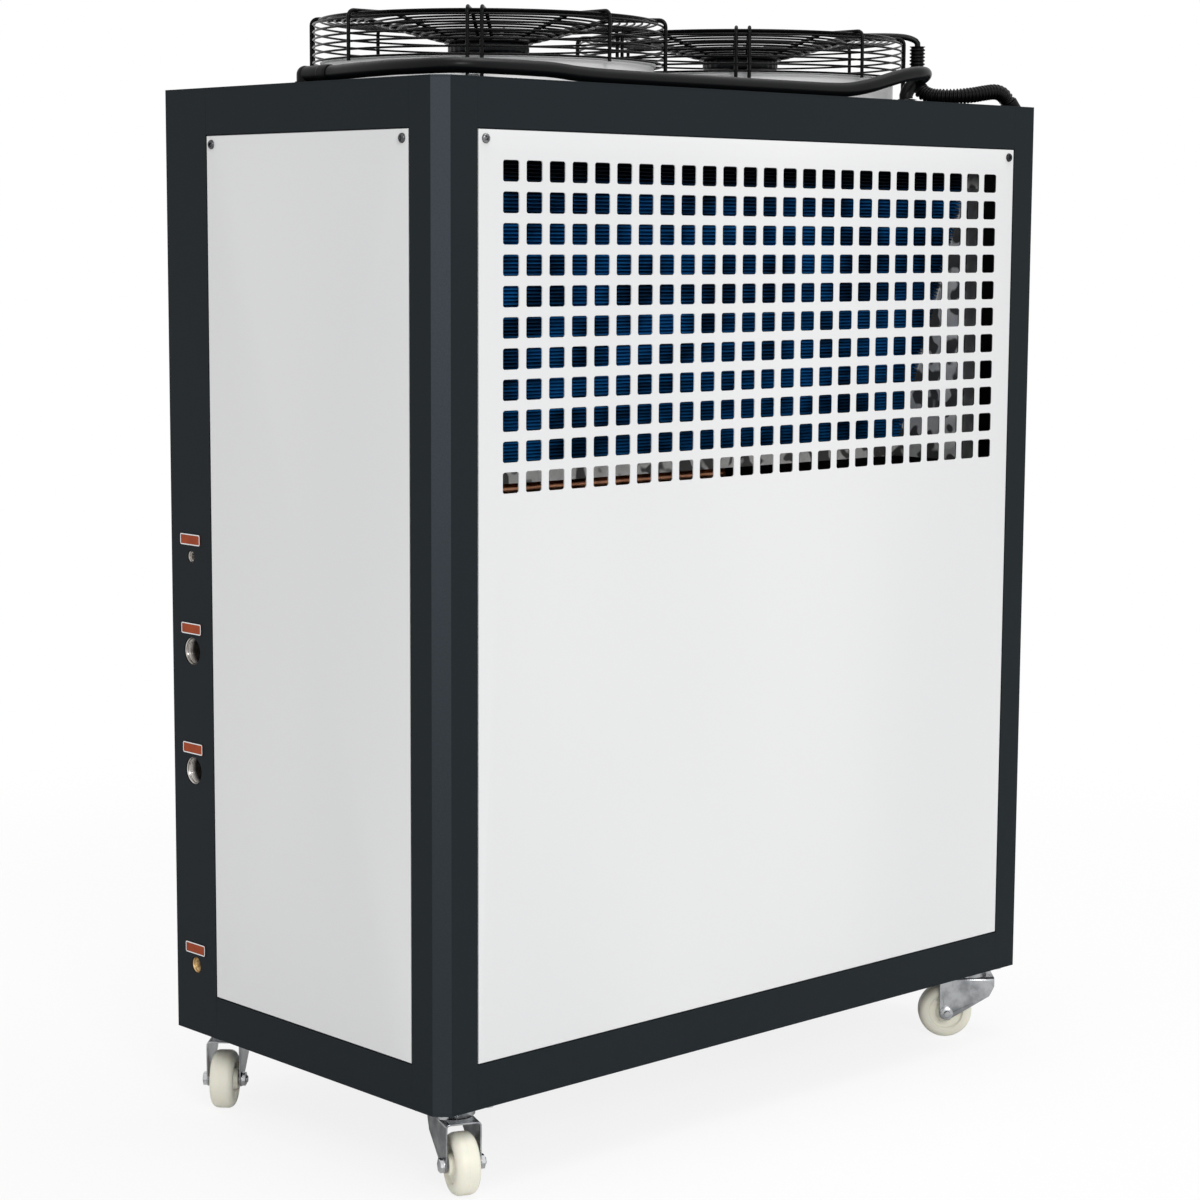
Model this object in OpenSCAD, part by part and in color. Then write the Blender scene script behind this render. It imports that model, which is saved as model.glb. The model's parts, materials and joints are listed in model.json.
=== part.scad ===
// Air cooled water chiller on casters, with two top fans and a V condenser behind perforated panels.
// Millimetres, +Z up, origin on the floor under the middle of the cabinet, front towards -Y.

/* [Cabinet] */
// Width of the cabinet along its front
cab_w = 1070; // [960:5:1300]
// Depth of the cabinet from front to back
cab_d = 550; // [520:5:700]
// Height of the cabinet without casters and fans
cab_h = 1200; // [1000:5:1400]
// Leg of the 45 degree bevel on each upright corner
bevel = 16; // [6:1:30]
// Thickness of the folded frame sheet
frame_t = 2; // [1.5:0.5:3]
// Thickness of the floor plate
base_t = 3; // [2:0.5:5]
// Thickness of the top deck
deck_t = 2; // [1.5:0.5:4]
// Width of the uprights on the front and the back
stile_w = 56; // [45:1:75]
// Width of the uprights on the two ends
end_stile_w = 54; // [45:1:75]
// Width of the upright that carries the water fittings
fitting_stile_w = 101.5; // [90:0.5:130]
// Height of the top rails
top_rail_h = 57; // [40:1:80]
// Height of the bottom rails
bottom_rail_h = 54; // [40:1:80]

/* [Panels] */
// Thickness of the panels
panel_t = 2; // [1.5:0.5:3]
// Gap round each panel
panel_gap = 1.5; // [0.5:0.5:3]
// Width of the ledge that each panel seats on
ledge_w = 15; // [8:1:20]

/* [Grille] */
// Holes across the panel
hole_cols = 25; // [4:1:26]
// Holes up the panel
hole_rows = 11; // [2:1:24]
// Distance between hole centres
hole_pitch = 35.7; // [30:0.1:36]
// Side of one square hole
hole_side = 24.5; // [10:0.5:28]
// Corner easing of a hole
hole_corner = 3; // [1:0.5:5]
// Drop from the panel opening to the middle of the top row
hole_drop = 47.5; // [25:0.5:80]

/* [Fans] */
// Distance of each fan axis from the middle of the cabinet
fan_offset = 226; // [224:1:250]
// Inner radius of the fan ring
ring_r = 205; // [160:1:206]
// Sheet thickness of the fan ring
ring_t = 2.5; // [1.5:0.5:4]
// Height of the fan ring above the deck
ring_h = 35; // [28:1:50]
// Depth of the fan ring below the deck
ring_drop = 40; // [20:1:45]
// Width of the ring's flange on the deck
ring_flange = 6; // [4:0.5:7]
// Width of the rolled lip on the ring's rim
ring_lip = 3; // [2:0.5:5]
// Clearance of the ring in the deck's hole
ring_fit = 0.5; // [0.3:0.1:2]
// Gap between the blade tips and the ring
tip_gap = 10; // [6:0.5:20]
// Blades on each rotor
blade_count = 5; // [3:1:7]
// Blade thickness
blade_t = 2.4; // [1.5:0.1:4]
// Width of a blade at the hub
blade_root_w = 60; // [40:1:70]
// Width of a blade at its tip
blade_tip_w = 112; // [60:1:120]
// Pitch of a blade at the hub, in degrees
blade_root_pitch = 38; // [25:1:42]
// Pitch of a blade at its tip, in degrees
blade_tip_pitch = 23; // [12:1:26]
// Forward sweep of the tip, in degrees
blade_sweep = 24; // [0:1:35]
// Depth of a blade's curve as a share of its width
blade_camber = 0.06; // [0:0.01:0.08]
// Drop of the blades below the middle of the hub
blade_drop = 4; // [0:1:8]
// Radius of the rotor hub
hub_r = 49; // [40:1:60]
// Height of the rotor hub
hub_h = 71; // [50:1:80]
// Radius of the fan motor's stator
motor_r = 51; // [40:1:60]
// Height of the fan motor's stator
motor_h = 12; // [8:1:20]
// Top of the fan motor above the deck
motor_top = 60; // [50:1:68]
// Radius of the fan shaft
shaft_r = 8; // [5:0.5:12]
// Length of the shaft in the rotor's hub
shaft_l = 50; // [30:1:55]
// Room past the shaft's end in the hub
shaft_room = 3; // [1:0.5:5]
// Radial clearance of the shaft in the rotor
shaft_fit = 0.3; // [0.1:0.1:0.5]
// Gap between the stator and the rotor
rotor_gap = 5; // [5:0.5:8]

/* [Guards] */
// Outer radius of a guard
guard_r = 224; // [216:1:225]
// Height of a guard above the deck
guard_h = 92; // [80:1:110]
// Height of the lowest guard ring above the deck
guard_low = 34; // [28:1:45]
// Thickness of a guard rib
rib_w = 4.5; // [3:0.5:6]
// Thickness of a guard ring wire
wire_w = 2.4; // [1.6:0.2:3]
// Distance between guard rings
wire_pitch = 9.4; // [7:0.1:14]
// Radius where the guard's top starts to dish
dish_r = 152; // [120:1:170]
// Radius of the plate in the middle of the guard
boss_r = 56; // [50:1:70]
// Radius of the hole in the middle plate
boss_hole_r = 28; // [15:1:40]
// Depth that a ring wire is welded into the ribs
weld = 0.7; // [0.5:0.1:0.9]
// Distance between the two ribs of an arm
arm_gap = 17; // [12:1:24]
// Length of a foot outside the ring's flange
foot_l = 32; // [20:1:36]
// Width of a foot
foot_w = 26; // [20:1:34]
// Thickness of the feet and the middle plate
foot_t = 3; // [2:0.5:5]

/* [Condenser] */
// Slope of each coil from upright, in degrees
coil_slope = 17.7; // [8:0.1:18]
// Thickness of a coil
coil_t = 66; // [30:1:66]
// Distance from a coil's top edge to the face of the cabinet
coil_front = 14; // [12:1:40]
// Length of a coil
coil_l = 840; // [700:5:860]
// Height of the coil's lower edge above the cabinet's floor
coil_z = 742; // [600:1:800]
// Gap from the fan rings down to the coil
coil_drop = 8; // [5:1:40]
// Sheet thickness of the coil frames
coil_sheet = 1.5; // [1:0.5:3]
// Width of the end plates' front lips
lip_w = 25; // [10:1:30]
// Height of the channel below a coil
channel_h = 22; // [12:1:30]
// Radius of the liquid line
pipe_r = 9.5; // [6:0.5:12]
// Bend radius of the liquid line
pipe_bend = 30; // [20:1:40]
// Length of the liquid line along the coil
pipe_l = 470; // [300:5:600]
// Distance of the liquid line's bends from the channel's edges
pipe_inset = 19; // [14:1:24]
// Gap between the liquid line and the channel
pipe_fit = 0.2; // [0.1:0.1:0.5]

/* [Water fittings] */
// Distance of the fittings from the back of the cabinet
fitting_back = 58; // [45:1:60]
// Height of the fill inlet above the cabinet's floor
fill_z = 618; // [580:1:680]
// Height of the water inlet above the cabinet's floor
inlet_z = 497; // [440:1:540]
// Height of the water outlet above the cabinet's floor
outlet_z = 343; // [280:1:400]
// Height of the drain above the cabinet's floor
drain_z = 88.8; // [80:0.2:160]
// Bore radius of the water inlet and outlet
water_bore = 16.5; // [10:0.5:18]
// Bore radius of the drain
drain_bore = 9.3; // [6:0.1:12]
// Bore radius of the fill inlet
fill_bore = 6.6; // [4:0.1:10]
// Metal that shows round each bore
fitting_show = 1; // [0.5:0.1:2]
// Wall of the fittings
fitting_wall = 4; // [2.5:0.5:6]
// Depth of the sockets
socket_l = 38; // [20:1:60]
// Width of the collars behind the sheet
collar_w = 6; // [4:1:10]
// Thickness of the collars behind the sheet
collar_t = 3; // [2:0.5:6]
// Length of a label plate
label_l = 42; // [30:1:60]
// Height of a label plate
label_h = 14; // [8:1:18]
// Thickness of a label plate
label_t = 1; // [0.5:0.1:2]
// Rise of a label plate over a large fitting
label_rise = 29; // [26:0.5:40]
// Rise of a label plate over a small fitting
label_rise_small = 21.5; // [20:0.5:30]

/* [Casters] */
// Height of the casters under the cabinet
caster_h = 104; // [100:1:130]
// Distance of the swivel axes from the ends
swivel_x = 58; // [50:1:90]
// Distance of the swivel axes from the front and the back
swivel_y = 47; // [40:1:90]
// Diameter of the wheels
wheel_d = 75; // [60:1:80]
// Width of the wheels
wheel_w = 30; // [20:1:32]
// Depth of the dished sides of the wheels
wheel_dish = 4; // [2:0.5:6]
// Thickness of the wheel's rim inside the crown
wheel_rim = 4; // [2:0.5:6]
// Gap between the wheel's hub and the fork
hub_gap = 1; // [0.5:0.1:2]
// Crown radius at the edges of the tread
wheel_crown = 9; // [3:0.5:10]
// Radius of the wheel's hub
wheel_hub_r = 13; // [10:0.5:18]
// Distance of the axle from the swivel axis
trail = 32; // [24:1:38]
// Radius of the axle
axle_r = 5; // [3:0.5:6]
// Radial clearance of the axle
axle_fit = 0.2; // [0.1:0.05:0.4]
// Width inside the fork
fork_in = 40; // [36:1:48]
// Sheet thickness of the fork
fork_t = 2.2; // [1.5:0.1:4]
// Bend radius outside the fork's shoulders
fork_bend = 5; // [4:0.5:8]
// Height of the fork's crown inside
fork_top = 87; // [82:1:92]
// Reach of the fork behind the swivel axis
fork_back = 35; // [28:1:38]
// Distance of the fork's knee behind the swivel axis
knee_back = 28; // [20:1:32]
// Drop of the fork's knee below the crown
knee_drop = 27; // [20:1:32]
// Drop of the fork's rear corner below the crown
brow_drop = 13; // [8:1:18]
// Radius of the fork round the axle
fork_eye = 10; // [8:0.5:13]
// Size across the corners of the axle's head and nut
hex_d = 18; // [14:0.5:20]
// Thickness of the axle's head and nut
hex_t = 5; // [4:0.5:8]
// Radius of the king pin
king_r = 5; // [4:0.5:8]
// Radius of the king pin's head
king_head_r = 10; // [8:0.5:14]
// Thickness of the king pin's head
king_head_t = 2.2; // [1.5:0.1:4]
// Radius of the swivel race
race_r = 26; // [20:1:30]
// Gap in the swivel race
race_gap = 0.5; // [0.3:0.1:1]
// Length of a caster plate along the cabinet
plate_l = 92; // [80:1:100]
// Width of a caster plate
plate_w = 66; // [60:1:80]
// Thickness of a caster plate
plate_t = 3; // [2:0.5:6]
// Angle of the front left caster
angle_fl = -113; // [-180:1:180]
// Angle of the front right caster
angle_fr = 137; // [-180:1:180]
// Angle of the rear left caster
angle_rl = -136; // [-180:1:180]
// Angle of the rear right caster
angle_rr = 67; // [-180:1:180]

/* [Cables] */
// Diameter of the cable sleeve
sleeve_d = 18; // [14:0.5:19]
// Diameter of the corrugated conduit
conduit_d = 21; // [16:0.5:22]
// Diameter of the fan lead
lead_d = 8; // [5:0.5:9]
// Wall of the glands
gland_wall = 1.5; // [1:0.5:2]
// Length of the glands' nozzles
gland_l = 50; // [45:1:60]
// Width of the grommet round the sleeve
grommet_w = 4; // [3:0.5:6]
// Gap between a cable's end and the gland it goes into
cord_gap = 0.3; // [0.2:0.1:0.5]

/* [Hidden] */

$fn = 64;
slate = "#2b2f33";
white = "#e9eaec";
black = "#17181a";
zinc = "#b9bcc0";
copper = "#c07a45";
tiny = 0.01;

// Depth of the panels' seat behind the face of the frame
seat = max(frame_t, panel_t);
// Height of the deck's top over the floor
deck_z = caster_h + cab_h;
// Angles of the casters in the order of the names fl, fr, rl, rr
caster_angles = [angle_fl, angle_fr, angle_rl, angle_rr];
ring_out = ring_r + ring_t;
flange_r = ring_out + ring_flange;

// Frame

// Plan outline of the cabinet with bevelled corners
module cabinet_outline() {
    x = cab_w / 2;
    y = cab_d / 2;
    polygon([
        [-x + bevel, -y], [x - bevel, -y], [x, -y + bevel], [x, y - bevel],
        [x - bevel, y], [-x + bevel, y], [-x, y - bevel], [-x, -y + bevel]
    ]);
}

// Children drawn from a corner of the cabinet: 0 front left, 1 front right, 2 rear left, 3 rear right
module at_corner(i) {
    mirror([i % 2, 0, 0])
        mirror([0, floor(i / 2), 0])
            translate([-cab_w / 2, -cab_d / 2, caster_h])
                children();
}

// Children drawn along a side, seen from outside: 0 front, 1 right, 2 rear, 3 left
module on_side(i) {
    half = i % 2 == 0 ? [cab_w, cab_d] / 2 : [cab_d, cab_w] / 2;
    rotate([0, 0, 90 * i])
        translate([-half.x, -half.y, caster_h])
            children();
}

// Folded sheet upright with a bevelled corner and a ledge beside each panel
module post(long_w, end_w) {
    inner = bevel + frame_t * (sqrt(2) - 1);
    back = seat + frame_t;
    color(slate)
        translate([0, 0, base_t])
            linear_extrude(cab_h - base_t - deck_t)
                polygon([
                    [bevel, 0], [long_w, 0], [long_w, seat], [long_w + ledge_w, seat],
                    [long_w + ledge_w, back], [long_w - frame_t, back], [long_w - frame_t, frame_t],
                    [inner, frame_t], [frame_t, inner],
                    [frame_t, end_w - frame_t], [back, end_w - frame_t], [back, end_w + ledge_w],
                    [seat, end_w + ledge_w], [seat, end_w], [0, end_w], [0, bevel]
                ]);
}

// One rail with the ledge for the panel above it
module rail(length, height) {
    back = seat + frame_t;
    rotate([90, 0, 90])
        linear_extrude(length)
            square([frame_t, height]);
    translate([ledge_w + panel_gap, 0, 0])
        rotate([90, 0, 90])
            linear_extrude(length - 2 * (ledge_w + panel_gap))
                polygon([
                    [0, 0], [frame_t, 0], [frame_t, height - frame_t], [back, height - frame_t],
                    [back, height + ledge_w], [seat, height + ledge_w], [seat, height], [0, height]
                ]);
}

// Bottom and top rail of one side
module rails(side, length, start_w, end_w) {
    run = length - start_w - end_w;
    color(slate)
        on_side(side) {
            translate([start_w, 0, base_t])
                rail(run, bottom_rail_h - base_t);
            translate([start_w, 0, cab_h - deck_t])
                mirror([0, 0, 1])
                    rail(run, top_rail_h - deck_t);
        }
}

module top_deck() {
    color(slate)
        difference() {
            translate([0, 0, deck_z - deck_t])
                linear_extrude(deck_t)
                    cabinet_outline();
            for (side = [-1, 1])
                translate([side * fan_offset, 0, deck_z - 2 * deck_t])
                    cylinder(h = 3 * deck_t, r = ring_out + ring_fit, $fn = 128);
        }
}

module floor_plate() {
    color(slate)
        translate([0, 0, caster_h])
            linear_extrude(base_t)
                cabinet_outline();
}

// Panels

// Size of the panel that fills an opening
function panel_size(length, start_w, end_w) = [
    length - start_w - end_w - 2 * panel_gap,
    cab_h - bottom_rail_h - top_rail_h - 2 * panel_gap
];

// One square hole with eased corners
module grille_hole() {
    a = hole_side / 2;
    b = a - hole_corner;
    polygon([[a, -b], [a, b], [b, a], [-b, a], [-a, b], [-a, -b], [-b, -a], [b, -a]]);
}

// Flat sheet with rows of holes under its top edge
module perforated_sheet(size) {
    first = [
        size.x / 2 - (hole_cols - 1) / 2 * hole_pitch,
        size.y + panel_gap - hole_drop
    ];
    difference() {
        square(size);
        for (row = [0:hole_rows - 1])
            for (col = [0:hole_cols - 1])
                translate(first + hole_pitch * [col, -row])
                    grille_hole();
    }
}

module panel(side, length, start_w, end_w, perforated = false) {
    size = panel_size(length, start_w, end_w);
    color(white)
        on_side(side)
            translate([start_w + panel_gap, seat, bottom_rail_h + panel_gap])
                rotate([90, 0, 0])
                    linear_extrude(panel_t)
                        if (perforated)
                            perforated_sheet(size);
                        else
                            square(size);
}

// Fans

module at_fan(side) {
    translate([side * fan_offset, 0, deck_z])
        children();
}

// Sheet ring with a flange on the deck and a lip on its rim
module fan_ring(side) {
    color(white)
        at_fan(side)
            rotate_extrude($fn = 128)
                polygon([
                    [ring_r, -ring_drop], [ring_out, -ring_drop], [ring_out, 0], [flange_r, 0],
                    [flange_r, ring_t], [ring_out, ring_t], [ring_out, ring_h - ring_t],
                    [ring_out + ring_lip, ring_h - ring_t], [ring_out + ring_lip, ring_h], [ring_r, ring_h]
                ]);
}

// Stator hung under the guard's middle plate, with the shaft that the rotor turns on
module fan_motor(side) {
    color("#3c3f44")
        at_fan(side) {
            translate([0, 0, motor_top - motor_h])
                cylinder(h = motor_h, r = motor_r);
            translate([0, 0, motor_top - motor_h - rotor_gap - shaft_l])
                cylinder(h = shaft_l + rotor_gap + tiny, r = shaft_r);
        }
}

// A point of a blade: s runs from the hub to the tip, u from the trailing to the leading edge
function blade_point(s, u, lift) =
    let (
        r0 = hub_r - blade_t,
        r = r0 + s * (ring_r - tip_gap - r0),
        half = (blade_root_w + s * (blade_tip_w - blade_root_w)) / 2,
        pitch = blade_root_pitch + s * (blade_tip_pitch - blade_root_pitch),
        across = u * half * cos(pitch),
        a = blade_sweep * s * s + across / r * 180 / PI,
        z = u * half * sin(pitch) + 2 * half * blade_camber * (1 - u * u) + lift / cos(pitch)
    ) [r * cos(a), r * sin(a), z];

// Twisted sickle blade lofted over a grid of points, with an upper and a lower skin
module blade(spans = 7, chords = 6) {
    row = chords + 1;
    skin = (spans + 1) * row;
    points = [
        for (lift = [-blade_t / 2, blade_t / 2])
            for (i = [0:spans])
                for (j = [0:chords])
                    blade_point(i / spans, 2 * j / chords - 1, lift)
    ];
    cells = [for (i = [0:spans - 1]) for (j = [0:chords - 1]) i * row + j];
    rim = concat(
        [for (j = [0:chords]) j],
        [for (i = [1:spans]) i * row + chords],
        [for (j = [chords - 1:-1:0]) spans * row + j],
        [for (i = [spans - 1:-1:1]) i * row]
    );
    count = len(rim);
    lower = [for (k = cells) each [[k, k + row, k + 1], [k + 1, k + row, k + row + 1]]];
    upper = [for (f = lower) [f[2] + skin, f[1] + skin, f[0] + skin]];
    sides = [
        for (i = [0:count - 1])
            let (a = rim[i], b = rim[(i + 1) % count])
            each [[a, b, b + skin], [a, b + skin, a + skin]]
    ];
    polyhedron(points, concat(lower, upper, sides));
}

module fan_rotor(side) {
    top = motor_top - motor_h - rotor_gap;
    bore_l = shaft_l + shaft_room;
    color(black)
        at_fan(side)
            difference() {
                union() {
                    translate([0, 0, top - hub_h])
                        cylinder(h = hub_h, r = hub_r);
                    for (i = [0:blade_count - 1])
                        rotate([0, 0, i * 360 / blade_count])
                            translate([0, 0, top - hub_h / 2 - blade_drop])
                                blade();
                }
                translate([0, 0, top - bore_l])
                    cylinder(h = bore_l + hub_h, r = shaft_r + shaft_fit);
            }
}

// Guards

// Radius where the ribs end on the middle plate
rib_end = boss_r - rib_w;
// Height of the ribs' underside at that end
rib_low = motor_top + foot_t / 2;

// Height of a rib's underside over the dish
function dish_under(r) =
    rib_low + (r - rib_end) * (guard_h - rib_w - rib_low) / (dish_r - rib_end);

// Side view of a rib, from its lower end over the shoulder and down the dish
module rib_profile(low) {
    bend = 2 * rib_w;
    polygon([
        [guard_r, low], [guard_r, guard_h - bend], [guard_r - bend, guard_h], [dish_r - rib_w / 2, guard_h],
        [rib_end, rib_low + rib_w], [rib_end, rib_low], [dish_r, guard_h - rib_w],
        [guard_r - bend, guard_h - rib_w], [guard_r - rib_w, guard_h - bend], [guard_r - rib_w, low]
    ]);
}

module rib(low) {
    rotate([90, 0, 0])
        translate([0, 0, -rib_w / 2])
            linear_extrude(rib_w)
                rib_profile(low);
}

// A ring of square wire about its middle radius and height
module wire_ring(r, z) {
    rotate_extrude($fn = 96)
        translate([r - wire_w / 2, z - wire_w / 2])
            square(wire_w);
}

module fan_guard(side) {
    side_r = guard_r - rib_w - wire_w / 2 + weld;
    top_z = guard_h - rib_w - wire_w / 2 + weld;
    rows = floor((guard_h - 2 * rib_w - guard_low) / wire_pitch);
    rounds = floor((guard_r - 3 * rib_w - dish_r) / wire_pitch);
    turns = floor((dish_r - boss_r - wire_pitch) / wire_pitch);
    color(black)
        at_fan(side) {
            for (k = [0:rows])
                wire_ring(side_r, guard_low + k * wire_pitch);
            for (k = [0:rounds])
                wire_ring(dish_r + wire_w + k * wire_pitch, top_z);
            for (k = [1:turns])
                wire_ring(dish_r - k * wire_pitch, dish_under(dish_r - k * wire_pitch) - wire_w / 2 + weld);
            for (q = [0:3]) {
                rotate([0, 0, 90 * q])
                    rib(guard_low - rib_w);
                rotate([0, 0, 90 * q + 45]) {
                    for (s = [-1, 1])
                        translate([0, s * arm_gap / 2, 0])
                            rib(foot_t / 2);
                    translate([flange_r + ring_fit, -foot_w / 2, 0])
                        cube([foot_l, foot_w, foot_t]);
                }
            }
            translate([0, 0, motor_top])
                difference() {
                    cylinder(h = foot_t, r = boss_r);
                    translate([0, 0, -1])
                        cylinder(h = foot_t + 2, r = boss_hole_r);
                }
        }
}

// Condenser

// Top of a coil, under the fan rings
coil_top = cab_h - ring_drop - coil_drop;
// Width of a coil across its slope, measured level
coil_across = coil_t / cos(coil_slope);

// Distance of a coil's front face from the cabinet's face at a height over the cabinet's floor
function coil_face(z) = coil_front + (coil_top - z) * tan(coil_slope);

// Children drawn in the front half of the cabinet, or mirrored into the rear half
module in_half(rear) {
    mirror([0, rear ? 1 : 0, 0])
        translate([-coil_l / 2, -cab_d / 2, caster_h])
            children();
}

// Cross section of a coil between two heights
module coil_section(z0, z1, across) {
    polygon([
        [coil_face(z0), z0], [coil_face(z0) + across, z0], [coil_face(z1) + across, z1], [coil_face(z1), z1]
    ]);
}

module coil(rear) {
    color("#3f8fc4")
        in_half(rear)
            translate([coil_sheet, 0, 0])
                rotate([90, 0, 90])
                    linear_extrude(coil_l - 2 * coil_sheet)
                        coil_section(coil_z, coil_top, coil_across);
}

// End plates with front lips, hung from the deck, and the channel below the coil
module coil_frame(rear) {
    under = cab_h - deck_t;
    low = coil_z - channel_h;
    lip_x = coil_sheet + lip_w;
    color(zinc)
        in_half(rear) {
            for (end = [0, 1])
                translate([end * coil_l, 0, 0])
                    mirror([end, 0, 0]) {
                        rotate([90, 0, 90])
                            linear_extrude(coil_sheet) {
                                coil_section(low, coil_top, coil_across);
                                translate([coil_front, coil_top - tiny])
                                    square([coil_across, under - coil_top + tiny]);
                            }
                        translate([-lip_w, 0, 0])
                            rotate([90, 0, 90])
                                linear_extrude(lip_x)
                                    coil_section(low, coil_top, coil_sheet);
                    }
            translate([coil_sheet / 2, coil_face(low), low])
                cube([coil_l - coil_sheet, coil_across, coil_sheet]);
            translate([coil_sheet / 2, coil_face(low), low])
                cube([coil_l - coil_sheet, coil_sheet, channel_h - coil_sheet]);
        }
}

// Copper line under the front coil's channel, bent back at both ends
module liquid_line() {
    low = coil_z - channel_h;
    y0 = -cab_d / 2 + coil_face(low) + pipe_inset;
    x0 = -coil_l / 2 + pipe_inset;
    z0 = caster_h + low - pipe_r - pipe_fit;
    back = coil_across - pipe_inset - pipe_r;
    color(copper)
        translate([x0, y0, z0]) {
            rotate([0, 90, 0])
                cylinder(h = pipe_l, r = pipe_r);
            translate([0, pipe_bend, 0])
                rotate([0, 0, 180])
                    rotate_extrude(angle = 90)
                        translate([pipe_bend, 0])
                            circle(pipe_r);
            translate([pipe_l, pipe_bend, 0])
                rotate([0, 0, 270])
                    rotate_extrude(angle = 90)
                        translate([pipe_bend, 0])
                            circle(pipe_r);
            for (x = [-pipe_bend, pipe_l + pipe_bend])
                translate([x, pipe_bend, 0])
                    rotate([-90, 0, 0])
                        cylinder(h = back - pipe_bend, r = pipe_r);
        }
}

// Water fittings

// Children drawn on the left end, looking out along -X, at a height over the cabinet's floor
module at_fitting(z) {
    translate([-cab_w / 2, cab_d / 2 - fitting_back, caster_h + z])
        rotate([0, -90, 0])
            children();
}

// The four fittings from the top: height, bore and rise of the label
fittings = [
    [fill_z, fill_bore, label_rise_small], [inlet_z, water_bore, label_rise],
    [outlet_z, water_bore, label_rise], [drain_z, drain_bore, label_rise_small]
];

// Blind socket behind the sheet, with a collar that seats on the back of the sheet
module socket(z, bore, tint) {
    body_r = bore + fitting_wall;
    color(tint)
        at_fitting(z)
            translate([0, 0, -frame_t])
                difference() {
                    union() {
                        translate([0, 0, -socket_l])
                            cylinder(h = socket_l, r = body_r);
                        translate([0, 0, -collar_t])
                            cylinder(h = collar_t, r = body_r + collar_w);
                    }
                    translate([0, 0, fitting_wall - socket_l])
                        cylinder(h = socket_l, r = bore);
                }
}

// Upright at the rear left with the holes for the fittings
module fitting_post() {
    difference() {
        at_corner(2)
            post(stile_w, fitting_stile_w);
        for (f = fittings)
            at_fitting(f[0])
                translate([0, 0, -2 * frame_t])
                    cylinder(h = 3 * frame_t, r = f[1] + fitting_show);
    }
}

module label_plates() {
    color("#b8743f")
        for (f = fittings)
            at_fitting(f[0] + f[2])
                translate([-label_h / 2, -label_l / 2, 0])
                    cube([label_h, label_l, label_t]);
}

// Casters

wheel_r = wheel_d / 2;
fork_w = fork_in + 2 * fork_t;
crown_z = fork_top + fork_t;

// Children drawn about a swivel axis on the floor, with +X along the caster's trail
module at_caster(i) {
    x = cab_w / 2 - swivel_x;
    y = cab_d / 2 - swivel_y;
    translate([i % 2 == 0 ? -x : x, i < 2 ? -y : y, 0])
        rotate([0, 0, caster_angles[i]])
            children();
}

// Fixed plates with the upper race and the king pin
module caster_plates() {
    color(zinc)
        for (i = [0:3])
            at_caster(i) {
                translate([0, 0, caster_h - plate_t])
                    rotate([0, 0, -caster_angles[i]])
                        translate([-plate_l / 2, -plate_w / 2, 0])
                            cube([plate_l, plate_w, plate_t]);
                translate([0, 0, crown_z + race_gap])
                    cylinder(h = caster_h - plate_t / 2 - crown_z - race_gap, r = race_r);
                translate([0, 0, fork_top - race_gap - king_head_t]) {
                    cylinder(h = caster_h - fork_top, r = king_r);
                    cylinder(h = king_head_t, r = king_head_r);
                }
            }
}

// Side view of the fork: straight down to the axle, round the eye, and back up the slanted rear edge
module fork_side() {
    knee = [-knee_back, crown_z - knee_drop];
    eye = [trail, wheel_r];
    over = crown_z + fork_bend;
    slant = eye - knee;
    turn = 90 - atan2(slant.y, slant.x) + asin(fork_eye / norm(slant));
    steps = 9;
    polygon(concat(
        [[-fork_back, over], [trail + fork_eye, over]],
        [for (i = [0:steps]) eye + fork_eye * [cos(turn * i / steps), -sin(turn * i / steps)]],
        [knee, [-fork_back, crown_z - brow_drop]]
    ));
}

// Front view of the fork's bent sheet
module fork_bow(width, height, bend) {
    translate([-width / 2, 0])
        square([width, height - bend]);
    translate([-width / 2 + bend, 0])
        square([width - 2 * bend, height]);
    for (s = [-1, 1])
        translate([s * (width / 2 - bend), height - bend])
            circle(bend);
}

module fork(i) {
    color(zinc)
        at_caster(i)
            difference() {
                intersection() {
                    translate([0, fork_w, 0])
                        rotate([90, 0, 0])
                            linear_extrude(2 * fork_w)
                                fork_side();
                    translate([-2 * fork_back, 0, 0])
                        rotate([90, 0, 90])
                            linear_extrude(4 * fork_back)
                                difference() {
                                    fork_bow(fork_w, crown_z, fork_bend);
                                    translate([0, -fork_t])
                                        fork_bow(fork_in, crown_z, fork_bend - fork_t);
                                }
                }
                translate([0, 0, fork_top - fork_t])
                    cylinder(h = 3 * fork_t, r = king_r + axle_fit);
                translate([trail, 0, wheel_r])
                    rotate([90, 0, 0])
                        cylinder(h = 2 * fork_w, r = axle_r + axle_fit, center = true);
            }
}

// Half section of a wheel, with a crowned tread, dished sides and a hub
module wheel_section() {
    hub_w = fork_in - 2 * hub_gap;
    rim_r = wheel_r - wheel_crown - wheel_rim;
    bore = axle_r + axle_fit;
    translate([bore, -hub_w / 2])
        square([wheel_hub_r - bore, hub_w]);
    translate([bore, -wheel_w / 2 + wheel_dish])
        square([rim_r - bore + tiny, wheel_w - 2 * wheel_dish]);
    translate([rim_r, -wheel_w / 2])
        square([wheel_r - wheel_crown - rim_r, wheel_w]);
    translate([rim_r, -wheel_w / 2 + wheel_crown])
        square([wheel_r - rim_r, wheel_w - 2 * wheel_crown]);
    for (s = [-1, 1])
        translate([wheel_r - wheel_crown, s * (wheel_w / 2 - wheel_crown)])
            circle(wheel_crown);
}

module wheel(i) {
    color("#e6e3d2")
        at_caster(i)
            translate([trail, 0, wheel_r])
                rotate([90, 0, 0])
                    rotate_extrude()
                        wheel_section();
}

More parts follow.
